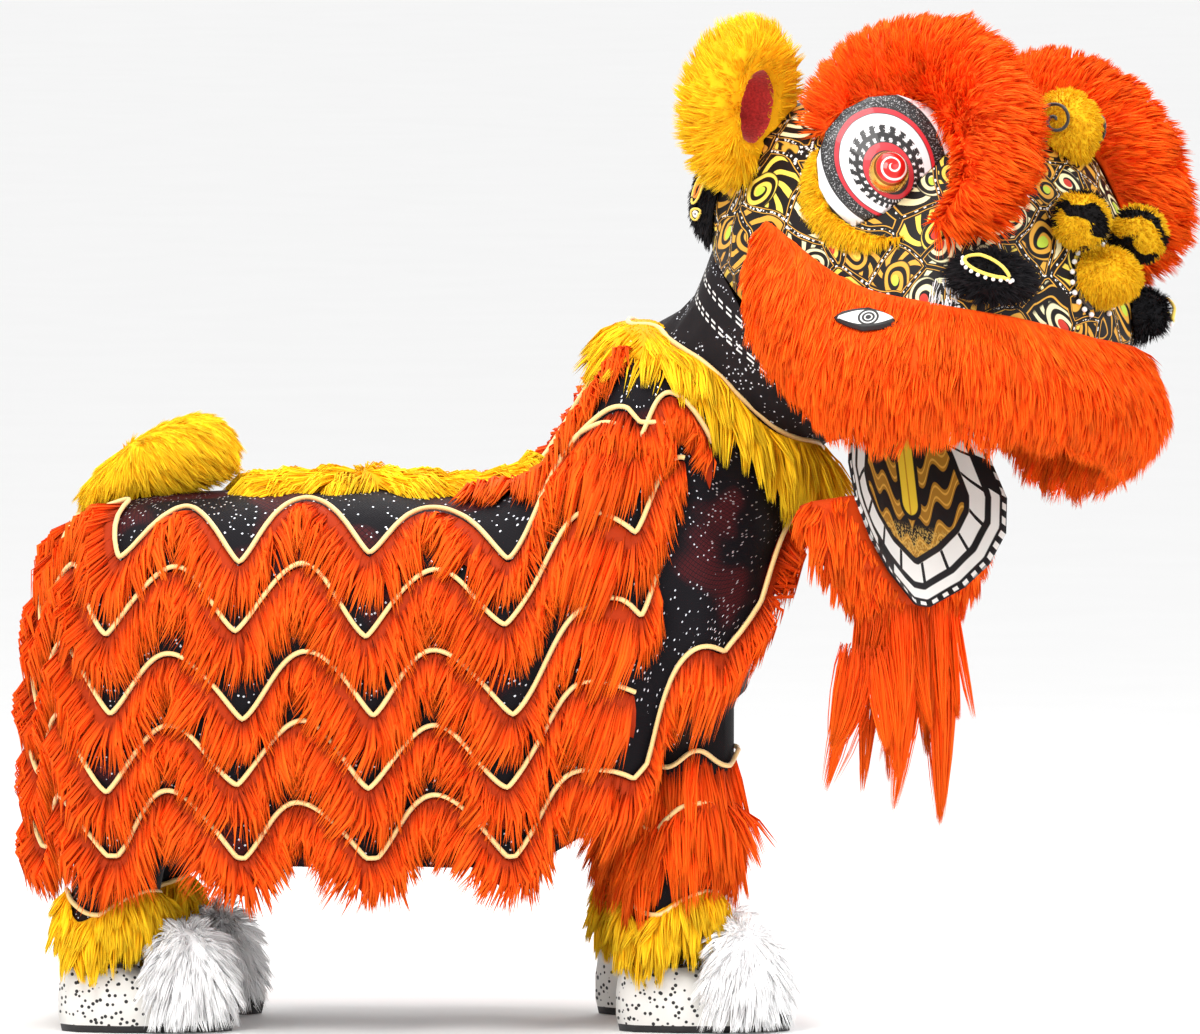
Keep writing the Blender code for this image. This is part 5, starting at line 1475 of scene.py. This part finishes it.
def striped_finish():
    """Yellow pile with bold curled black stripes, where the striped attribute is set."""
    make = Finish("striped_plush")
    place = head_place(make)
    _, y, z = make.parts(place)
    wave = make.noise(17.0, 1.0, place)
    wide = (z * 105.0 + y * 60.0 + wave * 9.0).sine()
    stripe = make.step(wide, -0.05, 0.10) * make.attribute("striped")
    # Painted shade: the pile is darker towards its roots.
    shade = 0.76 + make.attribute("along") * 0.20 + make.attribute("tint") * 0.10
    colour = make.mix(stripe, (1.0, 0.60, 0.010), (0.008, 0.006, 0.006))
    return make.set(make.scale(colour, shade), Roughness=0.75, Specular_IOR_Level=0.2)


STRIPED_PLUSH = striped_finish()


def dress(node, mesh, finish, slot, body="costume"):
    """A finished skin in place of a CAD node."""
    return piece(f"{node}_skin", mesh, finish, node, slot=slot, body=body)


EAR_LINING_GROWTH = 1.22
EYEBALL_GROWTH = 1.6
LIP_EYE_GROWTH = 1.5


def grow(mesh, centre, share):
    """Enlarges a mesh about a point."""
    points = (arrays(mesh)[0] - centre) * share + centre
    mesh.vertices.foreach_set("co", points.astype(np.float32).ravel())
    mesh.update()


def make_head():
    """The printed shell, the eyes and the linings of the ears."""
    head_print, eye_print, gold, lip_print = head_finish(), eye_finish(), ball_finish(), lip_eye_finish()
    dress("head_shell", merged("head_shell", 1, 0.0), head_print, "printed_cloth")
    for side, way in SIDES:
        ahead = head_way(0.4, way, 0.2)
        node = f"eye_disc_{side}"
        middle, gaze, up, across = plane_of(node, ahead)
        points = arrays(merged(node, 0))[0]
        size = np.linalg.norm(points - middle - np.outer((points - middle) @ gaze, gaze), axis=1).max()
        mesh = merged(node, 2, 0.0)
        on_plane(mesh, middle, up, across, size, middle_of(f"eyeball_{side}"))
        dress(node, mesh, eye_print, "eye_print")
        node = f"lip_eye_{side}"
        middle, _, up, across = plane_of(node, ahead)
        mesh = merged(node, 2, 0.0)
        grow(mesh, middle, LIP_EYE_GROWTH)
        on_plane(mesh, middle, up, across, np.abs((arrays(mesh)[0] - middle) @ across).max(), middle)
        dress(node, mesh, lip_print, "eye_print")
        node = f"eyeball_{side}"
        mesh = merged(node, 2)
        centre = arrays(mesh)[0].mean(0)
        grow(mesh, centre, EYEBALL_GROWTH)
        points = arrays(mesh)[0]
        ways = unit(points - centre)
        look = unit(gaze + 0.75 * head_way(1, 0, -0.2))
        level = unit(np.cross(look, (0, 0, 1)))
        for key, direction in (("ahead", look), ("upward", np.cross(level, look)), ("across", level)):
            attribute(mesh, key, ways @ direction)
        dress(node, mesh, gold, "gold_paint")
        mesh = merged(f"ear_lining_{side}", 2)
        grow(mesh, arrays(mesh)[0].mean(0), EAR_LINING_GROWTH)
        dress(f"ear_lining_{side}", mesh, RED_PLUSH, "red_plush")


JAW_OUTLINE = [
    # share of the length, half width
    (0.00, 0.60),
    (0.30, 0.86),
    (0.50, 1.00),
    (0.65, 0.95),
    (0.79, 0.75),
    (0.90, 0.48),
    (1.00, 0.10),
]


def make_jaw_skins():
    """The jaw's printed tray, its sleeve and its rod."""
    mesh = merged("jaw_tray", 3, 0.0)
    turned = np.array(JAW.inverted())
    points = arrays(mesh)[0] @ turned[:3, :3].T + turned[:3, 3]
    outline = [(JAW_LENGTH * a, JAW_HALF_WIDTH * b) for a, b in JAW_OUTLINE]
    line = outline + [(x, -y) for x, y in outline[::-1]]
    starts, ends = np.array(line[:-1]), np.array(line[1:])
    runs = ends - starts
    apart = points[:, None, :2] - starts
    share = np.clip((apart * runs).sum(2) / (runs**2).sum(1), 0, 1)
    attribute(mesh, "edge", np.linalg.norm(apart - share[..., None] * runs, axis=2).min(1))
    attribute(mesh, "ahead", points[:, 0])
    attribute(mesh, "across", points[:, 1])
    dress("jaw_tray", mesh, jaw_finish(), "jaw_print", body="jaw")
    dress("jaw_sleeve", merged("jaw_sleeve", 1, 0.0), RED_PLUSH, "red_plush", body="jaw")
    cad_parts["jaw_rod"].material_slots[0].material = GREY_STEEL


def make_clothes():
    """Collar, trousers and shoes."""
    mesh = merged("neck_collar", 2, 0.2)
    points = arrays(mesh)[0]
    turns = np.arctan2(points[:, 1], -points[:, 0])
    up = []
    for point, turn in zip(points, turns):
        low, high = collar_line(turn)
        way = high - low
        up.append((Vector(point) - low).dot(way) / way.length_squared)
    attribute(mesh, "up", up)
    attribute(mesh, "around", turns * NECK_HALF_WIDTH)
    made = dress("neck_collar", mesh, collar_finish(), "black_cloth")
    cloth = trouser_finish()
    for where in ("front", "rear"):
        mesh = merged(f"trousers_{where}", 1, 0.4)
        made = dress(f"trousers_{where}", mesh, cloth, "black_cloth")
    finish = shoe_finish()
    for where in LEGS:
        node = f"shoe_{where}"
        mesh = merged(node, 1, 0.0)
        points = arrays(mesh)[0]
        low, high = points.min(0), points.max(0)
        attribute(mesh, "toe", (points[:, 0] - low[0]) / (high[0] - low[0]))
        attribute(mesh, "rise", points[:, 2] - low[2])
        dress(node, mesh, finish, "shoe_cloth")


# Camera, light and floor


FRAME_WIDTH = 2.04
CAMERA_AWAY = 30.0
CAMERA_RISE = math.radians(4)
CAMERA_TARGET = Vector((-0.204, 0, -0.203))
SENSOR = 36
LAMP_TARGET = Vector((-0.3, 0, -0.2))
LAMPS = [
    # name, place, size, power, colour
    ("key", (-1.6, -3.4, 3.0), 2.2, 150, (1.0, 0.98, 0.95)),
    ("fill", (3.2, -2.6, 1.6), 2.6, 50, (0.96, 0.98, 1.0)),
    ("top", (-0.2, 0.3, 3.6), 2.4, 70, (1.0, 1.0, 1.0)),
    ("back", (0.4, 3.6, 2.4), 2.6, 60, (1.0, 0.99, 0.97)),
]


def place_in_scene(name, data, location, target):
    """An object that looks at a target."""
    made = bpy.data.objects.new(name, data)
    made.location = location
    made.rotation_euler = (target - made.location).to_track_quat("-Z", "Y").to_euler()
    bpy.context.scene.collection.objects.link(made)
    return made


def make_stage():
    """The floor, white surroundings, the lamps and the camera."""
    bpy.ops.object.select_all(action="DESELECT")
    bpy.ops.mesh.primitive_plane_add(size=400, location=(0, 0, FLOOR - 0.0005))
    floor = bpy.context.object
    floor.name = "floor"
    make = Finish("pale_floor")
    colour = make.mix(make.noise(3.0, 2.0), (0.90, 0.90, 0.90), (0.93, 0.93, 0.93))
    floor.data.materials.append(make.set(colour, Roughness=0.85))
    world = bpy.data.worlds.new("studio")
    bpy.context.scene.world = world
    world.use_nodes = True
    background = world.node_tree.nodes["Background"]
    background.inputs[0].default_value = (1.0, 1.0, 1.0, 1)
    background.inputs[1].default_value = 1.0
    for name, place, size, power, colour in LAMPS:
        light = bpy.data.lights.new(name, "AREA")
        light.size, light.energy, light.color = size, power, colour
        place_in_scene(name, light, place, LAMP_TARGET)
    camera = bpy.data.cameras.new("camera")
    camera.sensor_width = SENSOR
    camera.lens = SENSOR * CAMERA_AWAY / FRAME_WIDTH
    camera.clip_end = 500
    way = Vector((0, -math.cos(CAMERA_RISE), math.sin(CAMERA_RISE)))
    place = CAMERA_TARGET + way * CAMERA_AWAY
    bpy.context.scene.camera = place_in_scene("camera", camera, place, CAMERA_TARGET)
    bpy.context.scene.view_settings.view_transform = "Standard"


make_stage()
make_head()
make_jaw_skins()
make_clothes()
make_furs()
make_leg_furs()
make_prints()
body = make_body()
make_cloth(body)
for tier in range(len(TIERS)):
    tier_piece(tier, body, np.random.default_rng(10 + tier))
shoulder_rows(body)
